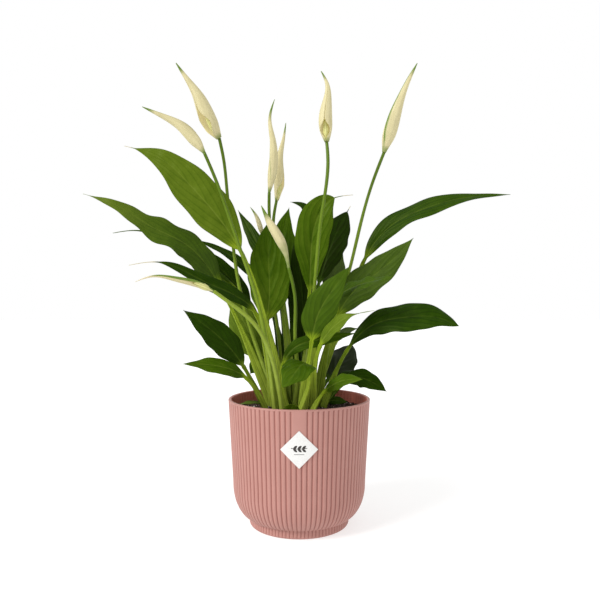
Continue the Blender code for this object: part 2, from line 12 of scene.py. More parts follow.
import bpy
import numpy as np
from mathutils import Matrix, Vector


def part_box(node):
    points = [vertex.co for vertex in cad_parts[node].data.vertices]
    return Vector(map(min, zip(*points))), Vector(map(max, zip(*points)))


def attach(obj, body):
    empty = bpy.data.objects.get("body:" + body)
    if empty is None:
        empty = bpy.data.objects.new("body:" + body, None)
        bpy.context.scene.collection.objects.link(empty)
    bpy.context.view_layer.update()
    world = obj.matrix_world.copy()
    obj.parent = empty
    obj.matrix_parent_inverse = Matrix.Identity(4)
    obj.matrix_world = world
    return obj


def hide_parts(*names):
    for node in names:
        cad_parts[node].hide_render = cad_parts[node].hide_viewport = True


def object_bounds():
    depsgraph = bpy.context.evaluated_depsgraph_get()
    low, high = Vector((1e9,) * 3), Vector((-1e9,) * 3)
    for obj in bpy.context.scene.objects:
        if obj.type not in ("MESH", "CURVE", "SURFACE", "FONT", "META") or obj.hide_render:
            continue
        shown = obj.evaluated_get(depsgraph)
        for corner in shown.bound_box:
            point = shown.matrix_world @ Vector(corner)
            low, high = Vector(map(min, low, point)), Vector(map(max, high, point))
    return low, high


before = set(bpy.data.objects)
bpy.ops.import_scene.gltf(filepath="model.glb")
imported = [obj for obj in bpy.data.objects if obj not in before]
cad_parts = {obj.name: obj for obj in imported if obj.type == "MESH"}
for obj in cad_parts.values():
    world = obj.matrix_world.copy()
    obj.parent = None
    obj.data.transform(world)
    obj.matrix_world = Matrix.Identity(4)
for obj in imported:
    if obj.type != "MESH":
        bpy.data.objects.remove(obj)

log = logging.getLogger("peace_lily")
Array = np.ndarray
Route = tuple[tuple[float, float, float], ...]

MM = 0.001
BODY = "root"
CLEARANCE = 0.3 * MM
CAD_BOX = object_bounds()


class Slot(Enum):
    """Material slots of the record."""

    POT = "pot_plastic"
    LABEL = "label_paper"
    SOIL = "soil"
    CROWN = "root_stock"
    LEAF = "leaf"
    STALK = "flower_stalk"
    SPATHE = "spathe"
    SPADIX = "spadix"


class Trait(Enum):
    """Per-point values that a finish reads from a mesh."""

    RIB = "rib_mm"
    VEIN = "vein_phase"
    ALONG = "along"
    UNDER = "under"
    TONE = "tone"
    DRY = "dry"
    STEM = "stem"
    MATTE = "matte"
    INK = "ink"
    PALE = "pale"
    GREEN = "green"
    GROOVE = "groove"


# Numbers -------------------------------------------------------------------------------------------------


def smoothstep(value: Array | float) -> Array:
    """Ease from 0 to 1: 3v^2 - 2v^3 of the value held between 0 and 1."""
    held = np.clip(value, 0.0, 1.0)
    return held * held * (3 - 2 * held)


def bell(value: Array, width: float) -> Array:
    """Bell curve, exp(-(value / width)^2): 1 at zero, nearly 0 beyond twice the width."""
    return np.exp(-((value / width) ** 2))


def spline(knots: Array, values: Array, at: Array) -> Array:
    """Natural cubic spline through values at knots: no bend at either end.

    Args:
        knots: rising places of the values.
        values: one row per knot.
        at: places to work out.

    Returns:
        One row per place.
    """
    steps = np.diff(knots)
    count = len(knots)
    matrix = np.eye(count)
    right = np.zeros((count, values.shape[1]))
    for row in range(1, count - 1):
        before, after = steps[row - 1], steps[row]
        matrix[row, row - 1 : row + 2] = before, 2 * (before + after), after
        rise_after = (values[row + 1] - values[row]) / after
        right[row] = 6 * (rise_after - (values[row] - values[row - 1]) / before)
    bend = np.linalg.solve(matrix, right)
    span = np.clip(np.searchsorted(knots, at, side="right") - 1, 0, count - 2)
    ahead, behind = (knots[span + 1] - at)[:, None], (at - knots[span])[:, None]
    length = steps[span][:, None]
    curve = (bend[span] * ahead**3 + bend[span + 1] * behind**3) / (6 * length)
    curve += (values[span] / length - bend[span] * length / 6) * ahead
    return curve + (values[span + 1] / length - bend[span + 1] * length / 6) * behind


def path_through(points: Array, shares: Array) -> Array:
    """Places at shares of the length of a smooth curve through the points, a spline by chord length."""
    knots = np.concatenate([[0.0], np.cumsum(np.linalg.norm(np.diff(points, axis=0), axis=1))])
    return spline(knots, points, shares * knots[-1])


def profile_at(shares: Sequence[float], values: Sequence[float], at: Array) -> Array:
    """A smooth run of single values: the spline through them, worked out at other shares."""
    return spline(np.array(shares), np.array(values)[:, None], at)[:, 0]


def facing(azimuth: float, height: float) -> Array:
    """Unit vector of a way of looking, in degrees: azimuth 0 is the front (-Y) and +90 the right (+X)."""
    turn, lift = math.radians(azimuth), math.radians(height)
    return np.array([math.sin(turn) * math.cos(lift), -math.cos(turn) * math.cos(lift), math.sin(lift)])


def frames(path: Array, shares: Array, face: Array, twist: Array | float = 0.0) -> tuple[Array, Array]:
    """Side and face vectors along a path.

    The side is square to the path and to the face, and both are then turned about the path by the twist.

    Args:
        path: points of the path.
        shares: place of each point along it.
        face: the way the upper side looks.
        twist: turn about the path at each point, in radians.

    Returns:
        Side vectors and face vectors, one row per point.
    """
    along = np.gradient(path, shares, axis=0)
    along /= np.linalg.norm(along, axis=1, keepdims=True)
    side = np.cross(along, face)
    side /= np.linalg.norm(side, axis=1, keepdims=True)
    square = np.cross(side, along)
    turn = np.broadcast_to(np.asarray(twist, float), (len(path),))[:, None]
    return side * np.cos(turn) + square * np.sin(turn), square * np.cos(turn) - side * np.sin(turn)


def about(path: Array, side: Array, face: Array, across: Array, up: Array) -> Array:
    """Rings of points about a path: each point is the path's, plus side x across, plus face x up."""
    return path[:, None] + side[:, None] * across[..., None] + face[:, None] * up[..., None]


def lattice_noise(points: Array, cell: float, seed: int) -> Array:
    """Smooth noise from -1 to 1: random values on a cubic lattice, blended between its corners.

    Args:
        points: places, in metres.
        cell: lattice spacing, in metres.
        seed: choice of the random values.

    Returns:
        One value per place.
    """
    table = np.random.default_rng(seed).uniform(-1, 1, 4096)
    scaled = points / cell
    corner = np.floor(scaled).astype(np.int64)
    share = smoothstep(scaled - corner)
    total = np.zeros(points.shape[:-1])
    for x, y, z in np.ndindex(2, 2, 2):
        step = np.array([x, y, z])
        key = (corner + step) @ np.array([73, 1031, 389]) & 4095
        weight = np.prod(np.where(step, share, 1 - share), axis=-1)
        total += table[key] * weight
    return total


# Meshes --------------------------------------------------------------------------------------------------


def tube_faces(rings: int, columns: int, first: int = 0) -> tuple[Array, Array]:
    """Quads round and along a stack of closed rings, with a fan of triangles to a pole at each end.

    Point (ring, column) has the number ring x columns + column; the two poles come after the rings.

    Args:
        rings: number of rings.
        columns: points in each ring.
        first: number of the first point.

    Returns:
        Quads and triangles.
    """
    near = np.arange(columns)
    far = (near + 1) % columns
    start = (np.arange(rings - 1) * columns)[:, None]
    quads = np.stack([start + near, start + far, start + columns + far, start + columns + near], axis=-1)
    last = (rings - 1) * columns
    pole = rings * columns
    opening = np.stack([far, near, np.full(columns, pole)], axis=-1)
    closing = np.stack([last + near, last + far, np.full(columns, pole + 1)], axis=-1)
    return quads.reshape(-1, 4) + first, np.concatenate([opening, closing]) + first


def enclosed(points: Array, quads: Array, triangles: Array) -> float:
    """Volume inside closed faces: a sixth of the triple product of each triangle's corners, added up.

    Args:
        points: one row per point.
        quads: faces of four corners.
        triangles: faces of three corners.

    Returns:
        The volume, below 0 where the faces point inwards.
    """
    halves = np.concatenate([quads[:, [0, 1, 2]], quads[:, [0, 2, 3]], triangles])
    a, b, c = (points[halves[:, k]] for k in range(3))
    return float(np.einsum("ij,ij->i", a, np.cross(b, c)).sum() / 6)


def mesh_object(name: str, points: Array, quads: Array, triangles: Array, traits: dict[Trait, Array],
                material: bpy.types.Material) -> bpy.types.Object:
    """An object at the origin from points and faces, turned to face outwards, with traits for each point.

    Args:
        name: name of the object.
        points: one row per point, in metres.
        quads: faces of four corners.
        triangles: faces of three corners.
        traits: values for each point.
        material: finish of the whole piece.

    Returns:
        The object, linked to the scene.
    """
    if enclosed(points, quads, triangles) < 0:
        quads, triangles = quads[:, ::-1], triangles[:, ::-1]
    corners = np.concatenate([quads.ravel(), triangles.ravel()]).astype(np.int32)
    starts = np.concatenate([np.arange(len(quads)) * 4, len(quads) * 4 + np.arange(len(triangles)) * 3])
    data = bpy.data.meshes.new(name)
    data.vertices.add(len(points))
    data.vertices.foreach_set("co", points.astype(np.float32).ravel())
    data.loops.add(len(corners))
    data.loops.foreach_set("vertex_index", corners)
    data.polygons.add(len(starts))
    data.polygons.foreach_set("loop_start", starts.astype(np.int32))
    data.update(calc_edges=True)
    for trait, values in traits.items():
        layer = data.attributes.new(trait.value, "FLOAT", "POINT")
        layer.data.foreach_set("value", np.asarray(values, np.float32).ravel())
    data.materials.append(material)
    data.shade_smooth()
    piece = bpy.data.objects.new(name, data)
    bpy.context.scene.collection.objects.link(piece)
    return piece


def tube_object(name: str, rings: Array, traits: dict[Trait, Array],
                material: bpy.types.Material) -> bpy.types.Object:
    """A closed object through rings of points, its poles at the middles of the end rings.

    Args:
        name: name of the object.
        rings: points by ring and column.
        traits: values by ring and column, or one number for the whole piece.
        material: finish of the whole piece.

    Returns:
        The object.
    """
    count, columns = rings.shape[:2]
    poles = rings[[0, -1]].mean(axis=1)
    points = np.concatenate([rings.reshape(-1, 3), poles])
    spread = {}
    for trait, values in traits.items():
        full = np.broadcast_to(np.asarray(values, float), (count, columns))
        spread[trait] = np.concatenate([full.ravel(), full[[0, -1]].mean(axis=1)])
    quads, triangles = tube_faces(count, columns)
    return mesh_object(name, points, quads, triangles, spread, material)


def stand_for(piece: bpy.types.Object, node: str) -> bpy.types.Object:
    """Lets a piece ride on the object's body in place of a CAD node.

    Args:
        piece: the finished piece.
        node: the CAD node that it stands for.

    Returns:
        The piece.
    """
    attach(piece, BODY)
    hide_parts(node)
    log.info("%s stands for %s: %d faces", piece.name, node, len(piece.data.polygons))
    return piece


# Finishes ------------------------------------------------------------------------------------------------


def linear(colour: str) -> tuple[float, float, float, float]:
    """Linear RGBA of an sRGB hex colour: (c + 0.055) / 1.055 to the power 2.4, or c / 12.92 when dark.

    Args:
        colour: "#rrggbb".

    Returns:
        Red, green, blue and a full alpha.
    """
    shares = [int(colour[i : i + 2], 16) / 255 for i in (1, 3, 5)]
    red, green, blue = (((c + 0.055) / 1.055) ** 2.4 if c > 0.04045 else c / 12.92 for c in shares)
    return red, green, blue, 1.0


class Kind(Enum):
    """Kinds of node: type, inputs in the order in which they are given, output, and fixed settings."""

    TRAIT = ("ShaderNodeAttribute", (), "Fac", {})  # a per-point value of the mesh
    SPACE = ("ShaderNodeTexCoord", (), "Object", {})  # the object's own space, in metres
    SUM = ("ShaderNodeMath", (0, 1, 2), 0, {})
    NOISE = ("ShaderNodeTexNoise", ("Vector", "Scale", "Detail", "Roughness"), "Fac", {})  # scale is 1 / size
    REMAP = ("ShaderNodeMapRange", ("Value", "From Min", "From Max", "To Min", "To Max"), "Result", {})
    BLEND = ("ShaderNodeMix", ("Factor", 6, 7), 2, {"data_type": "RGBA"})  # a share, and the two colours
    RAMP = ("ShaderNodeValToRGB", ("Fac",), "Color", {})
    BUMP = ("ShaderNodeBump", ("Height", "Distance", "Strength"), "Normal", {})


@dataclass(frozen=True)
class NodeSheet:
    """The node tree of one finish, with its Principled shader."""

    material: bpy.types.Material

    @classmethod
    def named(cls, name: str) -> "NodeSheet":
        """A new material with a Principled shader and nothing else.

        Args:
            name: name of the material.

        Returns:
            Its sheet.
        """
        material = bpy.data.materials.new(name)
        material.use_nodes = True
        return cls(material)

    @property
    def shader(self) -> bpy.types.Node:
        """The Principled shader."""
        return self.material.node_tree.nodes["Principled BSDF"]

    def add(self, kind: Kind, *links: object, stops: Sequence[tuple[float, str]] = (),
            **settings: object) -> bpy.types.NodeSocket:
        """Adds a node.

        Args:
            kind: what it does.
            *links: an output to link or a value to set, for each of the kind's inputs in turn.
            stops: (place, hex colour) of each stop of a ramp.
            **settings: properties of the node.

        Returns:
            The kind's output.
        """
        made, inputs, output, always = kind.value
        node = self.material.node_tree.nodes.new(made)
        for key, value in {**always, **settings}.items():
            setattr(node, key, value)
        for _ in stops[2:]:
            node.color_ramp.elements.new(0.5)
        for k, (place, colour) in enumerate(stops):
            node.color_ramp.elements[k].position = place
            node.color_ramp.elements[k].color = linear(colour)
        for key, value in zip(inputs, links):
            self.feed(node, key, value)
        return node.outputs[output]

    def feed(self, node: bpy.types.Node, key: str | int, value: object) -> None:
        """Links an output to a node's input, or sets the input's value.

        Args:
            node: the node.
            key: name or number of its input.
            value: an output or a value.
        """
        if isinstance(value, bpy.types.NodeSocket):
            self.material.node_tree.links.new(value, node.inputs[key])
        else:
            node.inputs[key].default_value = value

    def finish(self, **inputs: object) -> bpy.types.Material:
        """Sets or links the shader's inputs.

        Args:
            **inputs: an output or a value for each, with underscores for the spaces in its name.

        Returns:
            The finished material.
        """
        for key, value in inputs.items():
            self.feed(self.shader, key.replace("_", " "), value)
        return self.material


@dataclass(frozen=True)
class MouldedPolypropylene:
    """Injection-moulded, recycled polypropylene: a soft satin with faint flow clouds and a fine-spark grain.

    The inside is painted a deeper red, as painted light: it stands in for light that bounces about inside the
    pot and passes through its wall.
    """

    crest: str = "#aa7a71"
    clouded: str = "#af7f76"
    # painted shade: the colour at the bottom of the grooves between the ribs
    groove: str = "#844b41"
    # painted light: the inside's deeper red stands in for light bounced inside the pot and passed through its
    # wall
    inside: str = "#c46a58"
    painted_glow_share: float = 0.85
    cloud: float = 22 * MM
    grain: float = 0.7 * MM  # spark grain is finer; this is as fine as shows
    grain_depth: float = 0.05 * MM
    roughness: float = 0.5

    def material(self) -> bpy.types.Material:
        """The pot's finish: crest colour darkened towards the grooves as painted shade, clouded, with grain
        in its bump.

        Returns:
            The material.
        """
        sheet = NodeSheet.named("moulded_polypropylene")
        space = sheet.add(Kind.SPACE)
        clouds = sheet.add(Kind.NOISE, space, 1 / self.cloud, 3.0)
        crest = sheet.add(Kind.BLEND, sheet.add(Kind.REMAP, clouds, 0.3, 0.7), linear(self.crest),
                          linear(self.clouded))
        # painted shade: the colour darkens down into each groove
        groove = sheet.add(Kind.REMAP, sheet.add(Kind.TRAIT, attribute_name=Trait.GROOVE.value), 0.15, 1.0)
        colour = sheet.add(Kind.BLEND, groove, crest, linear(self.groove))
        # painted light: the inside of the wall takes the deeper red
        inside = sheet.add(Kind.SUM, sheet.add(Kind.TRAIT, attribute_name=Trait.UNDER.value),
                           self.painted_glow_share, operation="MULTIPLY")
        colour = sheet.add(Kind.BLEND, inside, colour, linear(self.inside))
        grain = sheet.add(Kind.NOISE, space, 1 / self.grain, 2.0)
        rough = sheet.add(Kind.REMAP, grain, 0.3, 0.7, self.roughness - 0.05, self.roughness + 0.07)
        return sheet.finish(Base_Color=colour, Roughness=rough, Specular_IOR_Level=0.32, IOR=1.49,
                            Normal=sheet.add(Kind.BUMP, grain, self.grain_depth, 0.5))


@dataclass(frozen=True)
class CoatedPaper:
    """Printed label stock: bright coated paper with a slight fibre tooth and one dark ink."""

    paper: str = "#dededc"
    mottle: str = "#d4d3d0"
    ink: str = "#26221f"
    fibre: float = 0.9 * MM

    def material(self) -> bpy.types.Material:
        """The label's finish: ink over faintly mottled paper.

        Returns:
            The material.
        """
        sheet = NodeSheet.named("coated_paper")
        space = sheet.add(Kind.SPACE)
        fibre = sheet.add(Kind.NOISE, space, 1 / self.fibre, 3.0)
        paper = sheet.add(Kind.BLEND, sheet.add(Kind.REMAP, fibre, 0.35, 0.65), linear(self.paper),
                          linear(self.mottle))
        ink = sheet.add(Kind.REMAP, sheet.add(Kind.TRAIT, attribute_name=Trait.INK.value), 0.35, 0.65)
        rough = sheet.add(Kind.REMAP, ink, 0.0, 1.0, 0.45, 0.32)
        return sheet.finish(Base_Color=sheet.add(Kind.BLEND, ink, paper, linear(self.ink)), Roughness=rough,
                            Normal=sheet.add(Kind.BUMP, fibre, 0.03 * MM, 0.4))


@dataclass(frozen=True)
class PottingMix:
    """Damp peat potting mix: near-black crumbs with lighter fibres and a few pale mineral grains."""

    dark: str = "#1f1713"
    crumb: str = "#483732"
    fibre: str = "#6f5a4e"
    pale: str = "#b0a9a2"
    clod: float = 2.6 * MM
    speck: float = 0.9 * MM

    def material(self) -> bpy.types.Material:
        """The soil's finish: crumb colours at two sizes and pale grains where the mesh says.

        Returns:
            The material.
        """
        sheet = NodeSheet.named("peat_potting_mix")
        space = sheet.add(Kind.SPACE)
        clods = sheet.add(Kind.NOISE, space, 1 / self.clod, 3.0, 0.6)
        specks = sheet.add(Kind.NOISE, space, 1 / self.speck, 3.0, 0.7)
        earth = sheet.add(Kind.RAMP, clods, stops=((0.3, self.dark), (0.6, self.crumb), (0.85, self.fibre)))
        flecked = sheet.add(Kind.BLEND, sheet.add(Kind.REMAP, specks, 0.62, 0.72, 0.0, 0.55), earth,
                            linear(self.fibre))
        colour = sheet.add(Kind.BLEND, sheet.add(Kind.TRAIT, attribute_name=Trait.PALE.value), flecked,
                           linear(self.pale))
        return sheet.finish(Base_Color=colour, Roughness=0.92, Specular_IOR_Level=0.2,
                            Normal=sheet.add(Kind.BUMP, specks, 0.6 * MM, 0.8))


@dataclass(frozen=True)
class LeafCuticle:
    """Waxy leaf: deep green above with arching veins and a pale midrib, paler and matt beneath.

    Some tips are dry. Levels are steps on the ramp of greens, from 0 at the darkest to 1 at the lightest.
    """

    darkest: str = "#0b1800"
    dark: str = "#193200"
    middle: str = "#365003"
    light: str = "#586c18"
    lightest: str = "#7f9148"
    rib: str = "#748530"
    stem: str = "#88a01d"
    deep_stem: str = "#2b4206"
    base: str = "#a3b247"
    straw: str = "#b9ae86"
    grey: str = "#65703c"
    deep_rib: str = "#2c420a"
    sheen: str = "#c0d078"
    rib_width: float = 0.3  # mm to either side of the middle
    rib_edge: float = 0.6  # mm over which the rib's colour ends
    fine_veins: int = 7  # fine veins to each arching one
    # painted shade: the thin vein lines are darkened as shaded grooves
    vein_shade_level: float = -0.09
    patch_level: float = 0.22
    under_level: float = 0.14
    patch: float = 9 * MM
    pores: float = 0.8 * MM

    def material(self) -> bpy.types.Material:
        """The leaf's finish, read from the blade's own traits so that it follows each leaf.

        Returns:
            The material.
        """
        sheet = NodeSheet.named("leaf_cuticle")
        space = sheet.add(Kind.SPACE)
        traits = (Trait.RIB, Trait.VEIN, Trait.ALONG, Trait.STEM, Trait.UNDER, Trait.MATTE)
        reads = (sheet.add(Kind.TRAIT, attribute_name=trait.value) for trait in traits)
        rib_mm, phase, along, stem, under, matte = reads
        wave = sheet.add(Kind.SUM, sheet.add(Kind.SUM, phase, 2 * math.pi, operation="MULTIPLY"),
                         operation="COSINE")
        turns = sheet.add(Kind.SUM, phase, 2 * math.pi * self.fine_veins, operation="MULTIPLY")
        fine = sheet.add(Kind.SUM, turns, operation="COSINE")
        patch = sheet.add(Kind.NOISE, space, 1 / self.patch, 3.0)
        # level carries each leaf's tone, which is partly its own green and partly painted shade
        level = sheet.add(Kind.SUM, sheet.add(Kind.TRAIT, attribute_name=Trait.TONE.value), 0.5, 0.5,
                          operation="MULTIPLY_ADD")
        # painted shade: a thin dark line along each arching vein
        line = sheet.add(Kind.SUM, sheet.add(Kind.SUM, wave, 0.5, 0.5, operation="MULTIPLY_ADD"), 10.0,
                         operation="POWER")
        level = sheet.add(Kind.SUM, line, self.vein_shade_level, level, operation="MULTIPLY_ADD")
        level = sheet.add(Kind.SUM, fine, 0.003, level, operation="MULTIPLY_ADD")
        level = sheet.add(Kind.SUM, sheet.add(Kind.SUM, patch, 0.5, operation="SUBTRACT"), self.patch_level,
                          level, operation="MULTIPLY_ADD")
        level = sheet.add(Kind.SUM, under, self.under_level, level, operation="MULTIPLY_ADD")
        greens = ((0.0, self.darkest), (0.25, self.dark), (0.5, self.middle), (0.75, self.light),
                  (1.0, self.lightest))
        green = sheet.add(Kind.RAMP, level, stops=greens)
        grey = sheet.add(Kind.SUM, matte, 0.25, sheet.add(Kind.SUM, under, 0.15, operation="MULTIPLY"),
                         operation="MULTIPLY_ADD")
        green = sheet.add(Kind.BLEND, grey, green, linear(self.grey))
        rib = sheet.add(Kind.REMAP, rib_mm, self.rib_width, self.rib_width + self.rib_edge, 0.45, 0.0)
        rib = sheet.add(Kind.SUM, rib, sheet.add(Kind.REMAP, along, 0.3, 0.95, 1.0, 0.1),
                        operation="MULTIPLY")
        # the midrib darkens with the leaf's level, painted shade included
        rib_colour = sheet.add(Kind.BLEND, sheet.add(Kind.REMAP, level, 0.1, 0.7), linear(self.deep_rib),
                               linear(self.rib))
        blade = sheet.add(Kind.BLEND, rib, green, rib_colour)
        streaks = sheet.add(Kind.SUM, fine, 0.12, sheet.add(Kind.REMAP, along, -1.0, 0.0, 0.75, 0.1),
                            operation="MULTIPLY_ADD")
        stalk = sheet.add(Kind.BLEND, streaks, linear(self.stem), linear(self.base))
        stalk = sheet.add(Kind.BLEND, sheet.add(Kind.REMAP, wave, -1.0, 1.0, 0.0, 0.35), stalk,
                          linear(self.deep_stem))
        # painted shade: stems of a low level turn to the deep stem colour
        stalk = sheet.add(Kind.BLEND, sheet.add(Kind.REMAP, level, 0.2, 0.55), linear(self.deep_stem), stalk)
        colour = sheet.add(Kind.BLEND, stem, blade, stalk)
        colour = sheet.add(Kind.BLEND, sheet.add(Kind.TRAIT, attribute_name=Trait.DRY.value), colour,
                           linear(self.straw))
        rough = sheet.add(Kind.REMAP, under, 0.0, 1.0, 0.4, 0.62)
        rough = sheet.add(Kind.SUM, matte, 0.16, rough, operation="MULTIPLY_ADD")
        rough = sheet.add(Kind.SUM, patch, 0.08, rough, operation="MULTIPLY_ADD")
        relief = sheet.add(Kind.SUM, fine, 0.05, sheet.add(Kind.NOISE, space, 1 / self.pores, 2.0),
                           operation="MULTIPLY_ADD")
        return sheet.finish(Base_Color=colour, Roughness=rough, Specular_IOR_Level=0.17,
                            Specular_Tint=linear(self.sheen),
                            Normal=sheet.add(Kind.BUMP, relief, 0.1 * MM, 0.4))


@dataclass(frozen=True)
class StalkSkin:
    """Flower stalk: smooth, faintly lined green skin that is yellower towards its foot."""

    foot: str = "#8fa03e"
    middle: str = "#6d8220"
    top: str = "#4c6414"
    sheen: str = "#cfe3a0"
    line_depth: float = 0.06 * MM

    def material(self) -> bpy.types.Material:
        """The stalk's finish, from the foot's colour to the top's, with fine lengthwise lines.

        Returns:
            The material.
        """
        sheet = NodeSheet.named("stalk_skin")
        space = sheet.add(Kind.SPACE)
        along = sheet.add(Kind.TRAIT, attribute_name=Trait.ALONG.value)
        phase = sheet.add(Kind.TRAIT, attribute_name=Trait.VEIN.value)
        line = sheet.add(Kind.SUM, sheet.add(Kind.SUM, phase, 2 * math.pi, operation="MULTIPLY"),
                         operation="COSINE")
        place = sheet.add(Kind.SUM, line, 0.05, along, operation="MULTIPLY_ADD")
        mottle = sheet.add(Kind.NOISE, space, 1 / (5 * MM), 2.0)
        place = sheet.add(Kind.SUM, sheet.add(Kind.SUM, mottle, 0.5, operation="SUBTRACT"), 0.3, place,
                          operation="MULTIPLY_ADD")
        colour = sheet.add(Kind.RAMP, place, stops=((0.0, self.foot), (0.35, self.middle), (0.9, self.top)))
        return sheet.finish(Base_Color=colour, Roughness=0.42, Specular_IOR_Level=0.35,
                            Specular_Tint=linear(self.sheen),
                            Normal=sheet.add(Kind.BUMP, line, self.line_depth, 0.5))


@dataclass(frozen=True)
class SpatheBract:
    """Spathe: thin cream bract with lengthwise veins and a painted glow of light through it, green at its
    tip, foot and back rib.
    """

    cream: str = "#c9c096"
    shade: str = "#b5aa7b"
    green: str = "#58741a"
    dried: str = "#cfc3a0"
    mottle: float = 9 * MM
    glow: float = 0.05  # painted light: a glow that stands for light passing through the thin bract
    painted_inner_glow: float = 0.4  # painted light: the same, on the hollow side, which is lit from behind

    def material(self) -> bpy.types.Material:
        """The spathe's finish, from its own traits.

        Returns:
            The material.
        """
        sheet = NodeSheet.named("spathe_bract")
        space = sheet.add(Kind.SPACE)
        phase = sheet.add(Kind.TRAIT, attribute_name=Trait.VEIN.value)
        vein = sheet.add(Kind.SUM, sheet.add(Kind.SUM, phase, 2 * math.pi, operation="MULTIPLY"),
                         operation="COSINE")
        mottle = sheet.add(Kind.NOISE, space, 1 / self.mottle, 1.0)
        share = sheet.add(Kind.SUM, vein, 0.06, sheet.add(Kind.REMAP, mottle, 0.2, 0.8, 0.1, 0.5),
                          operation="MULTIPLY_ADD")
        cream = sheet.add(Kind.BLEND, share, linear(self.cream), linear(self.shade))
        green = sheet.add(Kind.SUM, sheet.add(Kind.SUM, mottle, 0.5, operation="SUBTRACT"), 0.5,
                          sheet.add(Kind.TRAIT, attribute_name=Trait.GREEN.value), operation="MULTIPLY_ADD")
        colour = sheet.add(Kind.BLEND, sheet.add(Kind.REMAP, green, 0.12, 0.88), cream, linear(self.green))
        colour = sheet.add(Kind.BLEND, sheet.add(Kind.TRAIT, attribute_name=Trait.DRY.value), colour,
                           linear(self.dried))
        # painted light: the bract glows, more on its hollow side
        glow = sheet.add(Kind.SUM, sheet.add(Kind.TRAIT, attribute_name=Trait.UNDER.value), self.painted_inner_glow,
                         self.glow, operation="MULTIPLY_ADD")
        return sheet.finish(Base_Color=colour, Roughness=0.55, Specular_IOR_Level=0.25,
                            Emission_Color=linear(self.cream), Emission_Strength=glow,
                            Normal=sheet.add(Kind.BUMP, vein, 0.04 * MM, 0.15))


@dataclass(frozen=True)
class SpadixFlorets:
    """Spadix: packed tiny florets, cream tips over yellow-green gaps."""

    tip: str = "#ddd79a"
    gap: str = "#adb060"
    grain: float = 0.8 * MM

    def material(self) -> bpy.types.Material:
        """The spadix's finish: pale on each floret and greener between them.

        Returns:
            The material.
        """
        sheet = NodeSheet.named("spadix_florets")
        space = sheet.add(Kind.SPACE)
        grain = sheet.add(Kind.NOISE, space, 1 / self.grain, 2.0)
        floret = sheet.add(Kind.SUM, sheet.add(Kind.SUM, grain, 0.5, operation="SUBTRACT"), 0.5,
                           sheet.add(Kind.TRAIT, attribute_name=Trait.PALE.value), operation="MULTIPLY_ADD")
        colour = sheet.add(Kind.BLEND, sheet.add(Kind.REMAP, floret, 0.15, 0.8), linear(self.gap),
                           linear(self.tip))
        return sheet.finish(Base_Color=colour, Roughness=0.65, Specular_IOR_Level=0.3,
                            Normal=sheet.add(Kind.BUMP, grain, 0.2 * MM, 0.6))


@dataclass(frozen=True)
class StudioPaper:
    """Seamless studio paper: matt white with a barely visible tooth."""

    white: str = "#bcbcbb"
    tooth_shade: str = "#b9b9b8"
    tooth: float = 3 * MM
    glow: float = 0.62  # light of its own, as from a lit table, which keeps shadows faint

    def material(self) -> bpy.types.Material:
        """The floor's finish.

        Returns:
            The material.
        """
        sheet = NodeSheet.named("studio_paper")
        space = sheet.add(Kind.SPACE)
        tooth = sheet.add(Kind.NOISE, space, 1 / self.tooth, 2.0)
        colour = sheet.add(Kind.BLEND, tooth, linear(self.white), linear(self.tooth_shade))
        return sheet.finish(Base_Color=colour, Roughness=0.95, Specular_IOR_Level=0.0,
                            Emission_Color=(1.0, 1.0, 1.0, 1.0), Emission_Strength=self.glow)


# Pot, label, soil and crown ------------------------------------------------------------------------------


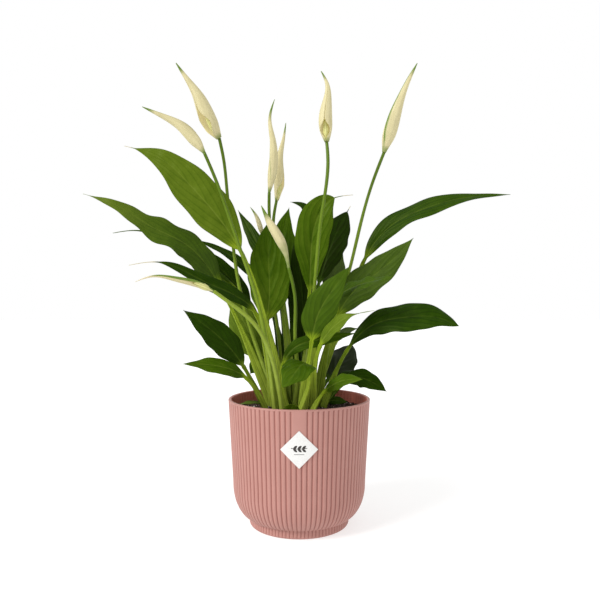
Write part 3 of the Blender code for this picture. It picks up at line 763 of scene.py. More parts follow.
@dataclass
class Pot:
    """Round pot with upright ribs, a smooth lip, a smooth panel behind the label and a set-in foot.

    Sizes that the frame gives are read from it; the rest are the moulding's own.
    """

    name: str = "pot_shell"
    node: str = "pot"
    taper: float = 4.6 * MM
    bowl_height: float = 45 * MM
    foot_radius: float = 49.0 * MM
    foot_height: float = 8.5 * MM
    foot_notch: float = 0.2 * MM
    wall: float = 2.2 * MM
    floor: float = 3.0 * MM
    ribs: int = 88
    columns_per_rib: int = 10
    rib_depth: float = 0.9 * MM
    inner_rib_depth: float = 0.45 * MM
    lip_height: float = 1.15 * MM
    lip_round: float = 1.0 * MM
    foot_ribs: float = 0.8
    foot_round: float = 2.8 * MM
    panel_ribs: float = 2.0
    panel_bottom: float = 84 * MM
    foot_recess: float = 1.6 * MM
    foot_ring: float = 5 * MM
    rib_run_out: float = 5 * MM  # height over which a rib reaches its full depth
    crest_power: int = 3  # a higher one leaves broader crests and narrower grooves

    def __post_init__(self) -> None:
        """Reads the height and rim radius from the frame."""
        low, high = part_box(self.node)
        self.height = high.z
        self.rim_radius = (high.x - low.x) / 2

    def radius(self, height: Array) -> Array:
        """Radius of the rib crests: a straight taper above the bowl and, below it, a squarish quarter round.

        In the bowl, with drop the share of the way down to the foot, the radius above the neck shrinks as
        (1 - drop^2.4)^0.62.

        Args:
            height: heights above the ground.

        Returns:
            Radii.
        """
        straight = self.height - self.bowl_height
        side = self.rim_radius - self.taper * (self.height - height) / straight
        neck = self.foot_radius + self.foot_notch
        drop = np.clip((self.bowl_height - height) / (self.bowl_height - self.foot_height), 0, 1)
        bowl = neck + (self.rim_radius - self.taper - neck) * (1 - drop**2.4) ** 0.62
        return np.where(height >= self.bowl_height, side, bowl)

    def outline(self) -> tuple[Array, Array, Array, Array]:
        """The wall's outline from the middle of the underside, up the outside, over the lip and down inside.

        Returns:
            Radii, heights, share of the outer ribs and share of the inner ribs at each point.
        """
        turn = np.linspace(0, math.pi / 2, 6)
        foot_x = self.foot_radius - self.foot_round * (1 - np.sin(turn))
        foot_z = self.foot_round * (1 - np.cos(turn))
        inner_foot = self.foot_radius - self.foot_ring
        under_x = np.array([0.15, 0.6, 1.0, 1.02, 1.04]) * inner_foot
        under_z = np.array([1.0, 1.0, 1.0, 0.6, 0.0]) * self.foot_recess
        neck_z = np.array([0.55, 0.85, 0.97]) * (self.foot_height - self.foot_notch)
        neck_x = np.full(3, self.foot_radius)
        drop = 1 - np.linspace(0, 1, 27)[1:] ** 1.9
        bowl_z = self.bowl_height - (self.bowl_height - self.foot_height) * drop ** (1 / 1.9)
        top = self.height - self.lip_height
        wall_z = np.concatenate([bowl_z, np.linspace(self.bowl_height, top - 1.6 * MM, 20)[1:],
                                 top - np.array([1.2, 0.8, 0.4, 0.0]) * MM])
        wall_x = self.radius(wall_z)
        outer_x = self.rim_radius - self.lip_round * (1 - np.cos(turn))
        outer_z = self.height - self.lip_round * (1 - np.sin(turn))
        inside = self.rim_radius - self.rib_depth - self.wall
        inner_x = inside + self.lip_round * (1 - np.sin(turn))
        inner_z = self.height - self.lip_round * (1 - np.cos(turn))
        base = self.foot_height + self.floor
        down_z = np.concatenate([top - np.array([0.4, 1.2, 2.0]) * MM,
                                 np.linspace(top - 4 * MM, self.bowl_height, 8),
                                 self.bowl_height - (self.bowl_height - base) * np.linspace(0.2, 0.96, 6)])
        down_x = self.radius(down_z) - self.rib_depth - self.wall
        floor_x = np.array([0.93, 0.7, 0.3]) * (self.foot_radius - self.wall)
        x = np.concatenate([under_x, foot_x, neck_x, wall_x, outer_x, inner_x, down_x, floor_x])
        z = np.concatenate([under_z, foot_z, neck_z, wall_z, outer_z, inner_z, down_z, np.full(3, base)])
        before = len(under_x) + len(foot_x) + len(neck_x)
        outer = np.zeros(len(x))
        foot = slice(len(under_x), before)
        outer[foot] = self.foot_ribs * smoothstep(z[foot] / (2.5 * MM))
        risen = smoothstep((wall_z - self.foot_height) / self.rib_run_out)
        fade = self.foot_ribs + (1 - self.foot_ribs) * risen
        outer[before : before + len(wall_z)] = fade * smoothstep((top - wall_z) / (1.0 * MM))
        start = before + len(wall_z) + len(outer_x) + len(inner_x)
        inner = np.zeros(len(x))
        ribbed = down_z > base + self.rib_run_out
        inner[start : start + len(down_z)] = smoothstep((top - down_z) / (2 * MM)) * ribbed
        return x, z, outer, inner

    def build(self, finish: MouldedPolypropylene) -> bpy.types.Object:
        """The turned wall with its ribs pressed in.

        Across a rib, from its crest (0) to the groove (1), the surface falls as share^crest_power. A crest
        stands at the middle of the front. The panel keeps the crest's height as far as its own edge.

        Args:
            finish: the pot's finish.

        Returns:
            The pot.
        """
        x, z, outer, inner = self.outline()
        count = self.ribs * self.columns_per_rib
        turn = np.arange(count) * 2 * math.pi / count
        share = np.abs(turn * self.ribs / (2 * math.pi) % 1.0 - 0.5)
        fall = (1 - 2 * share) ** self.crest_power
        from_front = np.abs((turn + math.pi) % (2 * math.pi) - math.pi)
        on_panel = from_front < (self.panel_ribs + 0.1) * math.pi / self.ribs
        above = smoothstep((z - self.panel_bottom) / (2 * MM))[:, None]
        pressed = fall[None, :] * (1 - on_panel[None, :] * above)
        depth = self.rib_depth * outer[:, None] * pressed + self.inner_rib_depth * inner[:, None] * fall
        reach = x[:, None] - depth * np.where(inner[:, None] > 0, -1, 1)
        rings = np.stack([reach * np.sin(turn), -reach * np.cos(turn),
                          np.broadcast_to(z[:, None], reach.shape)], axis=-1)
        # painted shade mask: how far down a groove each point lies
        groove = np.maximum(outer, inner)[:, None] * pressed
        # the inside of the wall, which gets the painted glow of the inside's deeper red
        within = np.maximum.accumulate(z) >= self.height
        traits = {Trait.GROOVE: groove, Trait.UNDER: within[:, None] * (z < self.height)[:, None]}
        piece = tube_object(self.name, rings, traits, finish.material())
        return stand_for(piece, self.node)


@dataclass
class Label:
    """Square label standing on one corner, bent round the pot, with a made-up sprig printed on it."""

    pot: Pot
    name: str = "paper_label"
    node: str = "label"
    side: float = 24 * MM
    thickness: float = 0.3 * MM
    drop: float = 35.5 * MM
    cells: int = 110
    leaf_pairs: int = 3
    pair_gap: float = 3.9  # mm from pair to pair along the sprig
    leaflet_tilt: float = 38.0  # degrees from the sprig
    ink_edge: float = 0.12  # mm

    def ink(self, across: Array, up: Array) -> Array:
        """Share of ink: a level stem with pairs of pointed leaflets, over a thin line.

        A leaflet is where two discs meet: its half width at a place along it is the smaller of the two
        circles' arcs. Edges are eased over a tenth of a millimetre.

        Args:
            across: millimetres right of the middle.
            up: millimetres above the middle.

        Returns:
            Share of ink from 0 to 1.
        """
        edge = self.ink_edge
        shape = np.maximum(np.abs(across) - 7.2, np.abs(up - 0.8 - 0.01 * across**2) - 0.32)
        for pair in range(self.leaf_pairs):
            for flip in (-1, 1):
                root_x = -5.2 + self.pair_gap * pair
                tilt = math.radians(self.leaflet_tilt * flip)
                along = (across - root_x) * math.cos(tilt) + (up - 0.8) * math.sin(tilt)
                beside = -(across - root_x) * math.sin(tilt) + (up - 0.8) * math.cos(tilt)
                middle = along - 2.3
                bulge = np.hypot(middle, np.abs(beside) + 1.9) - 2.98
                shape = np.minimum(shape, bulge)
        line = np.maximum(np.abs(across) - 4.6, np.abs(up + 4.2) - 0.22)
        return 1 - smoothstep((np.minimum(shape, line) + edge) / (2 * edge))

    def build(self, finish: CoatedPaper) -> bpy.types.Object:
        """The sheet, as two grids a thickness apart that meet round their edge.

        Args:
            finish: the label's finish.

        Returns:
            The label.
        """
        steps = np.linspace(-0.5, 0.5, self.cells + 1) * self.side
        a, b = np.meshgrid(steps, steps)
        half = math.sqrt(0.5)
        across, up = half * (a - b), half * (a + b)
        height = self.pot.height - self.drop + up
        turn = across / (self.pot.radius(height) + CLEARANCE)
        layers = []
        for lift in (0.0, self.thickness):
            reach = self.pot.radius(height) + CLEARANCE + lift
            layers.append(np.stack([reach * np.sin(turn), -reach * np.cos(turn), height], axis=-1))
        points = np.concatenate([layer.reshape(-1, 3) for layer in layers])
        size = self.cells + 1
        number = np.arange(size * size).reshape(size, size)
        cell = np.stack([number[:-1, :-1], number[:-1, 1:], number[1:, 1:], number[1:, :-1]], axis=-1)
        front = cell.reshape(-1, 4) + size * size
        rim = np.concatenate([number[0, :-1], number[:-1, -1], number[-1, :0:-1], number[:0:-1, 0]])
        ahead = np.roll(rim, -1)
        band = np.stack([rim, ahead, ahead + size * size, rim + size * size], axis=-1)
        quads = np.concatenate([cell.reshape(-1, 4)[:, ::-1], front, band])
        printed = self.ink(across.ravel() / MM, up.ravel() / MM)
        traits = {Trait.INK: np.concatenate([np.zeros_like(printed), printed])}
        none = np.zeros((0, 3), int)
        piece = mesh_object(self.name, points, quads, none, traits, finish.material())
        piece.data.set_sharp_from_angle(angle=math.radians(50))
        return stand_for(piece, self.node)


@dataclass
class Crumbs:
    """Loose lumps scattered over a round area, each a bent twenty-sided grain."""

    count: int
    reach: float
    smallest: float = 0.5 * MM
    largest: float = 1.6 * MM
    pale_share: float = 0.07
    seed: int = 11

    def grain(self) -> tuple[Array, Array]:
        """A twenty-sided grain: its corners are (0, +-1, +-g) and its turns, with g the golden ratio.

        Returns:
            Its points and its triangles.
        """
        golden = (1 + math.sqrt(5)) / 2
        signs = np.array([(s, t) for s in (-1, 1) for t in (-1, 1)])
        flat = np.column_stack([np.zeros(4), signs[:, 0], signs[:, 1] * golden])
        corners = np.concatenate([np.roll(flat, k, axis=1) for k in range(3)])
        gaps = np.linalg.norm(corners[:, None] - corners[None], axis=-1)
        near = np.abs(gaps - 2) < 1e-6
        i, j, k = np.meshgrid(*[np.arange(12)] * 3, indexing="ij")
        joined = near[i, j] & near[j, k] & near[i, k] & (i < j) & (j < k)
        faces = np.stack([i[joined], j[joined], k[joined]], axis=-1)
        first, second, third = (corners[faces[:, corner]] for corner in range(3))
        normal = np.cross(second - first, third - first)
        inward = np.einsum("ij,ij->i", normal, first) < 0
        faces[inward] = faces[inward][:, ::-1]
        return corners / np.linalg.norm(corners[0]), faces

    def scatter(self, surface: Callable[[Array, Array], Array], centre: tuple[float, float]
                ) -> tuple[Array, Array, Array]:
        """Spreads the grains evenly by area over a surface.

        Args:
            surface: height of the surface at x and y.
            centre: middle of the area.

        Returns:
            Points, triangles and the share of pale stone at each point.
        """
        random = np.random.default_rng(self.seed)
        corners, faces = self.grain()
        distance = self.reach * np.sqrt(random.uniform(0, 1, self.count))
        turn = random.uniform(0, 2 * math.pi, self.count)
        x = centre[0] + distance * np.cos(turn)
        y = centre[1] + distance * np.sin(turn)
        size = self.smallest + (self.largest - self.smallest) * random.uniform(0, 1, self.count) ** 2.2
        stretch = random.uniform(0.6, 1.25, (self.count, 1, 3))
        jitter = random.uniform(0.8, 1.2, (self.count, 12, 1))
        spin = random.uniform(0, 2 * math.pi, self.count)
        shape = corners[None] * stretch * jitter * size[:, None, None]
        turned = shape.copy()
        turned[..., 0] = shape[..., 0] * np.cos(spin)[:, None] - shape[..., 2] * np.sin(spin)[:, None]
        turned[..., 2] = shape[..., 0] * np.sin(spin)[:, None] + shape[..., 2] * np.cos(spin)[:, None]
        places = np.stack([x, y, surface(x, y) + 0.25 * size], axis=-1)
        points = (turned + places[:, None]).reshape(-1, 3)
        triangles = (faces[None] + np.arange(self.count)[:, None, None] * 12).reshape(-1, 3)
        pale = np.repeat(random.uniform(0, 1, self.count) < self.pale_share, 12)
        return points, triangles, pale * 1.0


@dataclass
class Bed:
    """A round bed of potting mix: a rough top strewn with crumbs, and a plain side and underside."""

    name: str
    node: str
    slot: Slot
    rough: float
    crumbs: int
    rounding: float
    seed: int
    rise: float = 0.0
    rings: int = 72
    columns: int = 220
    underside: tuple[tuple[float, float], ...] = ((0.92, 0.34), (0.66, 0.0))  # share of radius, of depth
    lump_sizes: tuple[float, float, float] = (9 * MM, 4 * MM, 1.8 * MM)
    edge_drop: float = 2.4 * MM

    def __post_init__(self) -> None:
        """Reads the bed's place and size from the frame."""
        low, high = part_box(self.node)
        self.centre = ((low.x + high.x) / 2, (low.y + high.y) / 2)
        self.reach = (high.x - low.x) / 2
        self.top, self.bottom = high.z, low.z

    def surface(self, x: Array, y: Array) -> Array:
        """Height of the top: noise at three sizes, rounded down towards the edge.

        The edge falls as (distance / reach)^rounding.

        Args:
            x: places.
            y: places.

        Returns:
            Heights.
        """
        flat = np.stack([x, y, np.zeros_like(x)], axis=-1)
        coarse, middling, small = self.lump_sizes
        lumps = lattice_noise(flat, coarse, self.seed) + 0.6 * lattice_noise(flat, middling, self.seed + 1)
        lumps = lumps + 0.45 * lattice_noise(flat, small, self.seed + 2)
        distance = np.hypot(x - self.centre[0], y - self.centre[1]) / self.reach
        return self.top + self.rise + self.rough * (lumps - 1.0) - self.edge_drop * distance**self.rounding

    def build(self, material: bpy.types.Material) -> bpy.types.Object:
        """The bed and its crumbs as one mesh.

        Args:
            material: finish of the bed.

        Returns:
            The bed.
        """
        share = np.linspace(0.01, 1.0, self.rings)[:, None]
        turn = (np.arange(self.columns) * 2 * math.pi / self.columns)[None, :]
        x = self.centre[0] + self.reach * share * np.cos(turn)
        y = self.centre[1] + self.reach * share * np.sin(turn)
        top = np.stack([x, y, self.surface(x, y)], axis=-1)
        depth = self.top - self.bottom
        middle = np.array([*self.centre, 0.0])
        spokes = (top[-1] - middle) * np.array([1.0, 1.0, 0.0])
        below = [middle + spokes * size + np.array([0, 0, self.bottom + depth * level])
                 for size, level in self.underside]
        body = np.concatenate([top, np.array(below)])
        quads, triangles = tube_faces(len(body), self.columns)
        points = np.concatenate([body.reshape(-1, 3), body[[0, -1]].mean(axis=1)])
        if enclosed(points, quads, triangles) < 0:
            quads, triangles = quads[:, ::-1], triangles[:, ::-1]
        crumbs = Crumbs(self.crumbs, 0.985 * self.reach, seed=self.seed)
        loose, facets, pale = crumbs.scatter(self.surface, self.centre)
        triangles = np.concatenate([triangles, facets + len(points)])
        traits = {Trait.PALE: np.concatenate([np.zeros(len(points)), pale])}
        points = np.concatenate([points, loose])
        piece = mesh_object(self.name, points, quads, triangles, traits, material)
        return stand_for(piece, self.node)


# Plant ---------------------------------------------------------------------------------------------------

# Shares of a flower's length, and of its greatest radius there.
BUD_WIDEST = 0.3
BUD_SWELL = ((0, 0.06, 0.16, BUD_WIDEST, 0.45, 0.6, 0.75, 0.88, 1),
             (0.28, 0.5, 0.86, 1.0, 0.88, 0.62, 0.37, 0.22, 0.05))
HOOD_SWELL = ((0, 0.07, 0.17, 0.3, 0.45, 0.6, 0.75, 0.88, 1),
              (0.34, 0.62, 0.92, 1.0, 0.86, 0.6, 0.36, 0.2, 0.06))
SPADIX_SWELL = ((0, 0.12, 0.3, 0.55, 0.8, 0.94, 1), (0.38, 0.5, 0.85, 1.0, 0.92, 0.68, 0.2))


def placed(route: Route, ground: float) -> Array:
    """A route in metres, moved up to the height that it stands on.

    Args:
        route: points in mm.
        ground: height in metres.

    Returns:
        One row per point, in metres.
    """
    points = np.array(route, float) * MM
    points[:, 2] += ground
    return points


@dataclass
class Grown:
    """A grown part of the plant, along a route: one closed mesh that stands for one CAD node."""

    name: str
    route: Route

    def join(self, rings: Array, traits: dict[Trait, Array], made: str, node: str, slot: Slot,
             material: bpy.types.Material) -> bpy.types.Object:
        """Makes the mesh from its rings and their traits, and lets it stand for its node."""
        piece = tube_object(f"{made}_{self.name}", rings, traits, material)
        return stand_for(piece, f"{node}_{self.name}")


@dataclass
class Leaf(Grown):
    """One leaf: petiole with its clasping sheath, and a folded blade with arching veins and a wavy edge.

    Widths, waves, sheath, thickness, keel and channel are in millimetres; azimuth, height, fold and twist
    are in degrees. The sheath tapers off from the share of the petiole's length called clasped.
    """

    half_width: float
    azimuth: float
    height: float
    fold: float
    collar: int = 1
    # tone is each leaf's own green and partly painted shade: leaves deep in the plant or under others are set
    # darker
    tone: float = 0.0
    # stem_tone is partly painted shade: stems deep in the plant are set at -0.7, which turns them deep green
    stem_tone: float = 0.05
    # fade tilts the blade's level from foot to tip, painted shade that mostly darkens the foot deep in the
    # plant
    fade: float = 0.1
    wave: float = 0.8
    ripples: float = 2.4
    ragged: float = 0.035
    camber: float = 0.16
    rise: float = 0.85
    fall: float = 1.18
    veins: float = 5.0
    relief: float = 0.3
    twist: float = 0.0
    sheath: float = 3.8
    clasped: float = 0.25
    dry: float = 0.0
    tail: float = 0.0
    thread: float = 0.85
    matte: float = 0.0
    petiole: float = 1.75
    thickness: float = 0.2
    keel: float = 1.15
    keel_width: float = 0.95
    channel: float = 0.4
    vein_arch: float = 0.62
    petiole_rings: int = 34
    blade_rings: int = 92
    half_columns: int = 33

    def widths(self, at: Array, collar: float, along: Array) -> tuple[Array, Array]:
        """Half widths of the stem and of the whole leaf.

        The blade's share is (s / w)^rise x ((1 - s) / (1 - w))^fall, which is 1 where it is widest, at w, and
        is drawn out at the tip. Slow waves in it make the edge uneven, and a tail is drawn out as a thread.
        The sheath tapers off up the petiole.

        Args:
            at: share of the whole route.
            collar: share at which the blade starts.
            along: share of the blade.

        Returns:
            Half width of the stem and of the leaf, in metres.
        """
        up = np.clip(at / collar, 0, 1)
        slim = min(1.0, self.half_width / 6)
        clasp = (self.sheath - self.petiole) * (1 - smoothstep((up - self.clasped) / 0.6))
        joint = 0.22 * bell(up - 0.97, 0.03)
        stem = (self.petiole * slim * (1 + joint) + np.maximum(clasp, 0)) * MM
        widest = self.rise / (self.rise + self.fall)
        body = np.clip(along / (1 - self.tail), 0, 1)
        share = (body / widest) ** self.rise * ((1 - body) / (1 - widest)) ** self.fall
        share = share * (1 + self.ragged * np.sin(2 * math.pi * self.ripples * 1.7 * along + self.half_width))
        thread = self.thread * smoothstep((along - 0.5) / 0.3) * (1 - along) ** 0.3 * (self.tail > 0)
        share = share + thread / self.half_width
        return stem, np.maximum(stem * (1 - 0.86 * along**0.6), self.half_width * MM * share)

    def surface(self, ground: float) -> tuple[Array, dict[Trait, Array]]:
        """Rings of points from the foot to the tip, and the traits at each.

        Across a ring the place runs from -1 to 1 over the upper side and back beneath. The blade's middle
        surface is a soft V, an arch of camber x place^2, waves that grow with place^2, and a quilting of
        cos(2 pi phase), whose phase, veins x (along - arch x |place|^1.3), makes the veins arch to the tip.

        Args:
            ground: height of the leaf's foot.

        Returns:
            Points by ring and column, and traits.
        """
        points = placed(self.route, ground)
        lengths = np.cumsum(np.linalg.norm(np.diff(points, axis=0), axis=1))
        collar = lengths[self.collar - 1] / lengths[-1]
        blade = np.linspace(0, 1, self.blade_rings)
        at = np.concatenate([np.linspace(0, collar, self.petiole_rings, endpoint=False),
                             collar + (1 - collar) * (0.8 * blade + 0.2 * np.sin(blade * math.pi / 2))])
        along = np.clip((at - collar) / (1 - collar), 0, 1)
        path = path_through(points, at)
        side, face = frames(path, at, facing(self.azimuth, self.height),
                            math.radians(self.twist) * smoothstep((along - 0.5) / 0.5))
        stem, width = self.widths(at, collar, along)
        flat = smoothstep(along / 0.2)[:, None]
        step = np.linspace(-1, 1, self.half_columns)
        step = np.concatenate([step, step[-2:0:-1]])[None, :]
        upper = np.arange(step.shape[1]) < self.half_columns
        eased = step - 0.6 * np.sin(2 * math.pi * step) / (2 * math.pi)
        place = (1 - flat) * np.sin(step * math.pi / 2) + flat * eased
        wide = width[:, None]
        off = np.abs(place) * wide
        t = along[:, None]
        sway = np.sin(math.pi * t) ** 0.7
        tilt = math.tan(math.radians(self.fold))
        fold = tilt * (np.sqrt(off**2 + (0.9 * MM) ** 2) - 0.5 * wide)
        arch = -self.camber * wide * (place**2 - 0.35)
        phase = self.half_width + 1.7 * np.sign(place)
        wave = self.wave * MM * place**2 * sway * np.sin(2 * math.pi * self.ripples * t + phase)
        vein = self.veins * (t - self.vein_arch * np.abs(place) ** 1.3)
        quilt = self.relief * MM * np.cos(2 * math.pi * vein) * (1 - place**6) * sway
        quilt = quilt * smoothstep(off / (4 * MM)) * np.minimum(1, wide / (9 * MM))
        middle = flat * (fold + arch + wave + quilt)
        thin = self.thickness * MM * (1 - place**8) * np.minimum(1, (1 - t) * 12 + 0.4)
        slender = np.minimum(1, wide / (4 * MM))
        keel = (self.keel * (1 - t) ** 0.8 + 0.1) * MM * bell(off / MM, self.keel_width) * slender
        channel = self.channel * MM * (1 - t) ** 0.5 * bell(off / MM, 0.8) * slender
        bow = np.minimum(stem, self.petiole * MM)[:, None] * np.cos(step * math.pi / 2)
        groove = 1 - 0.5 * bell(step, 0.4)
        lift = np.where(upper, (1 - flat) * bow * groove + flat * (thin - channel),
                        -(1 - flat) * bow - flat * (thin + keel)) + middle
        rings = about(path, side, face, place * wide, lift)
        return rings, self.traits(at / collar, t, place, off, vein, upper)

    def traits(self, up: Array, t: Array, place: Array, off: Array, vein: Array,
               upper: Array) -> dict[Trait, Array]:
        """Values that the finish reads.

        Args:
            up: place on the petiole, 0 at its foot and 1 at the collar.
            t: place on the blade.
            place: place across, from -1 to 1.
            off: distance from the midrib, in metres.
            vein: phase of the lateral veins.
            upper: whether each column is on the upper side.

        Returns:
            The traits.
        """
        full = np.ones_like(place)
        opened = smoothstep(t / 0.12)
        # painted shade: the leaf's tone, tilted darker towards the foot by fade
        blade_tone_and_shade = self.tone + self.fade * (2 * t - 1)
        dry = smoothstep((t - 1 + self.dry) / (0.25 * self.dry + 0.001)) * (self.dry > 0) + 0 * place
        return {
            Trait.RIB: off / MM,
            Trait.VEIN: vein,
            Trait.ALONG: np.where(t > 0, t, np.clip(up[:, None], 0, 1) - 1) * full,
            Trait.UNDER: np.where(upper, 0.0, 1.0) * full,
            Trait.TONE: (self.stem_tone + opened * (blade_tone_and_shade - self.stem_tone)) * full,
            Trait.DRY: dry,
            Trait.STEM: (1 - smoothstep((t - 0.02) / 0.1)) * full,
            Trait.MATTE: self.matte * full,
        }

    def build(self, material: bpy.types.Material, ground: float) -> bpy.types.Object:
        """The leaf as one closed mesh, with its foot at the given height."""
        rings, traits = self.surface(ground)
        return self.join(rings, traits, "foliage", "leaf", Slot.LEAF, material)


def round_rings(path: Array, shares: Array, radii: Array, columns: int, lobes: int = 0,
                lobe_depth: float = 0.0) -> tuple[Array, Array]:
    """Rings about a path, with shallow lobes: the radius is multiplied by 1 + depth x cos(lobes x angle).

    Args:
        path: points of the path.
        shares: place of each point along it.
        radii: radius at each point.
        columns: points in a ring.
        lobes: number of lobes.
        lobe_depth: depth of a lobe as a share of the radius.

    Returns:
        Points by ring and column, and the lobe phase of each column.
    """
    side, face = frames(path, shares, facing(0, 0))
    turn = (np.arange(columns) * 2 * math.pi / columns)[None, :]
    reach = radii[:, None] * (1 + lobe_depth * np.cos(lobes * turn))
    rings = about(path, side, face, reach * np.cos(turn), reach * np.sin(turn))
    return rings, lobes * turn / (2 * math.pi)


@dataclass
class FlowerStalk(Grown):
    """One flower stalk: a slender, faintly lobed stem that thickens into a sheath at its foot."""

    foot: float = 2.6
    middle: float = 1.75
    top: float = 1.55
    aged: float = 0.0
    rings: int = 90
    columns: int = 20

    def build(self, material: bpy.types.Material, ground: float) -> bpy.types.Object:
        """The stalk as one closed mesh.

        Args:
            material: the stalks' finish.
            ground: height of its foot.

        Returns:
            The stalk.
        """
        shares = np.linspace(0, 1, self.rings)
        path = path_through(placed(self.route, ground), shares)
        radii = profile_at((0, 0.2, 0.5, 1), (self.foot, 2.1, self.middle, self.top), shares) * MM
        radii = radii * (1 + 0.035 * np.sin(23 * shares + len(self.name)))
        rings, phase = round_rings(path, shares, radii, self.columns, 5, 0.05)
        traits = {Trait.ALONG: (1 - self.aged) * shares[:, None], Trait.VEIN: phase}
        return self.join(rings, traits, "stem", "stalk", Slot.STALK, material)


@dataclass
class RolledSpathe(Grown):
    """A spathe still rolled shut: one edge laps over the other in a long spiral, up to a green tip.

    Half width and half depth are in millimetres, and the start of the seam in radians. It makes as many turns
    as given, and widest is the share of the length where the body is.
    """

    half_width: float
    half_depth: float
    lap: float = 0.17
    turns: float = 0.55
    start: float = -0.9
    green_tip: float = 0.22
    green_foot: float = 0.1
    seam_green: float = 0.5
    seam_width: float = 0.02
    widest: float = 0.3
    rings: int = 110
    columns: int = 64

    def build(self, material: bpy.types.Material, ground: float) -> bpy.types.Object:
        """The rolled spathe as one closed mesh.

        Round a ring the radius grows by the lap from one edge to the other, so the edge stands up as a step
        that winds up the body.

        Args:
            material: the spathes' finish.
            ground: height that the routes stand on.

        Returns:
            The spathe.
        """
        shares = np.linspace(0, 1, self.rings)
        path = path_through(placed(self.route, ground), shares)
        swell = profile_at(*BUD_SWELL, shares ** (math.log(BUD_WIDEST) / math.log(self.widest)))
        side, face = frames(path, shares, facing(0, 0))
        turn = np.arange(self.columns) / self.columns
        seam = (self.start + 2 * math.pi * self.turns * shares)[:, None]
        angle = seam + 2 * math.pi * turn[None, :]
        lap = self.lap * smoothstep((shares - 0.04) / 0.2)[:, None]
        reach = swell[:, None] * MM * (1 + lap * (turn[None, :] - 0.5))
        reach = reach * (1 + 0.02 * np.cos(9 * angle))
        crease = 1 + 0.06 * np.sin(9 * shares[:, None] + 2 * angle)
        across = self.half_width * reach * crease * np.cos(angle)
        deep = self.half_depth * reach * crease * np.sin(angle)
        rings = about(path, side, face, across, deep)
        tip = smoothstep((shares - (1 - self.green_tip)) / (0.8 * self.green_tip))[:, None]
        foot = (1 - smoothstep(shares / self.green_foot))[:, None]
        edge = self.seam_green * bell(turn[None, :] - 0.97, self.seam_width)
        edge = edge * smoothstep(shares[:, None] / 0.15)
        traits = {Trait.VEIN: 7 * turn[None, :], Trait.DRY: 0.0, Trait.UNDER: 0.0,
                  Trait.GREEN: np.clip(tip + 0.75 * foot + edge, 0, 1)}
        return self.join(rings, traits, "bract", "spathe", Slot.SPATHE, material)


@dataclass
class OpenSpathe(Grown):
    """A spathe that has opened on one side round its spadix.

    Half width, wall, spadix and its radius and pitch are in millimetres, and azimuth and gape in degrees. The
    gape is how much further the edges stand from each other than in a closed spathe, where it is widest, and
    then falls off as a bell.
    """

    half_width: float
    azimuth: float
    spadix: float
    gape: float = 54.0
    gape_at: float = 0.3
    gape_span: float = 0.2
    green_rib: float = 0.7
    green_edge: float = 0.0
    dry_tail: float = 0.0
    wall: float = 0.55
    spadix_radius: float = 2.75
    floret_pitch: float = 2.2
    floret_rows: int = 4
    spadix_rings: int = 84
    spadix_columns: int = 56
    rings: int = 100
    half_columns: int = 41

    def build(self, material: bpy.types.Material, ground: float) -> bpy.types.Object:
        """The hood as one closed shell, outer face and inner face, with its edges turned slightly out.

        Args:
            material: the spathes' finish.
            ground: height that the routes stand on.

        Returns:
            The spathe.
        """
        shares = np.linspace(0, 1, self.rings)
        path = path_through(placed(self.route, ground), shares)
        side, face = frames(path, shares, facing(self.azimuth, 0))
        swell = profile_at(*HOOD_SWELL, shares)
        reach = np.radians(178 - self.gape * bell(shares - self.gape_at, self.gape_span))
        step = np.linspace(-1, 1, self.half_columns)
        step = np.concatenate([step, step[::-1]])[None, :]
        inner = (np.arange(step.shape[1]) >= self.half_columns)[None, :]
        angle = step * reach[:, None]
        outer = self.half_width * MM * swell[:, None] * (1 + 0.14 * np.abs(step) ** 5)
        outer = outer * (1 + 0.015 * np.cos(10 * angle)) * (1 + 0.05 * np.sin(7 * shares[:, None] + 3 * step))
        wall = np.minimum(self.wall * MM, 0.3 * outer)
        radius = outer - wall * inner
        across, deep = radius * np.sin(angle), -radius * np.cos(angle)
        rings = about(path, side, face, across, deep)
        tip = smoothstep((shares - 0.8) / 0.16)[:, None]
        foot = (1 - smoothstep(shares / 0.08))[:, None]
        back = self.green_rib * bell(angle, 0.16) * smoothstep((shares[:, None] - 0.25) / 0.5) * (1 - inner)
        dry = smoothstep((shares[:, None] - 1 + self.dry_tail) / 0.1) * (self.dry_tail > 0)
        edge = self.green_edge * smoothstep((step - 0.1) / 0.5) * smoothstep((0.9 - shares[:, None]) / 0.2)
        green = np.clip(tip * (1 - dry) + 0.7 * foot + back + edge, 0, 1)
        traits = {Trait.VEIN: 4 * step, Trait.GREEN: green, Trait.DRY: dry,
                  Trait.UNDER: inner * np.ones_like(angle)}
        return self.join(rings, traits, "bract", "spathe", Slot.SPATHE, material)

    def build_spadix(self, material: bpy.types.Material, ground: float) -> bpy.types.Object:
        """The spadix: a blunt spike covered in florets.

        The florets are bumps of cos(around) x cos(up) that are set out in two crossing spirals.

        Args:
            material: the spadices' finish.
            ground: height that the routes stand on.

        Returns:
            The spadix.
        """
        points = placed(self.route, ground)
        whole = float(np.sum(np.linalg.norm(np.diff(points, axis=0), axis=1)))
        shares = np.linspace(0.012, min(self.spadix * MM / whole, 1.0), self.spadix_rings)
        path = path_through(points, shares)
        side, face = frames(path, shares, facing(0, 0))
        climb = (shares - shares[0]) / (shares[-1] - shares[0])
        radii = profile_at(*SPADIX_SWELL, climb)
        turn = (np.arange(self.spadix_columns) * 2 * math.pi / self.spadix_columns)[None, :]
        rise = 2 * math.pi * climb[:, None] * self.spadix / self.floret_pitch
        floret = np.cos(self.floret_rows * turn + rise) * np.cos(self.floret_rows * turn - rise)
        reach = self.spadix_radius * MM * radii[:, None]
        reach = reach * (1 + 0.1 * floret * smoothstep(climb / 0.15)[:, None])
        rings = about(path, side, face, reach * np.cos(turn), reach * np.sin(turn))
        traits = {Trait.PALE: 0.5 + 0.5 * floret}
        return self.join(rings, traits, "florets", "spadix", Slot.SPADIX, material)
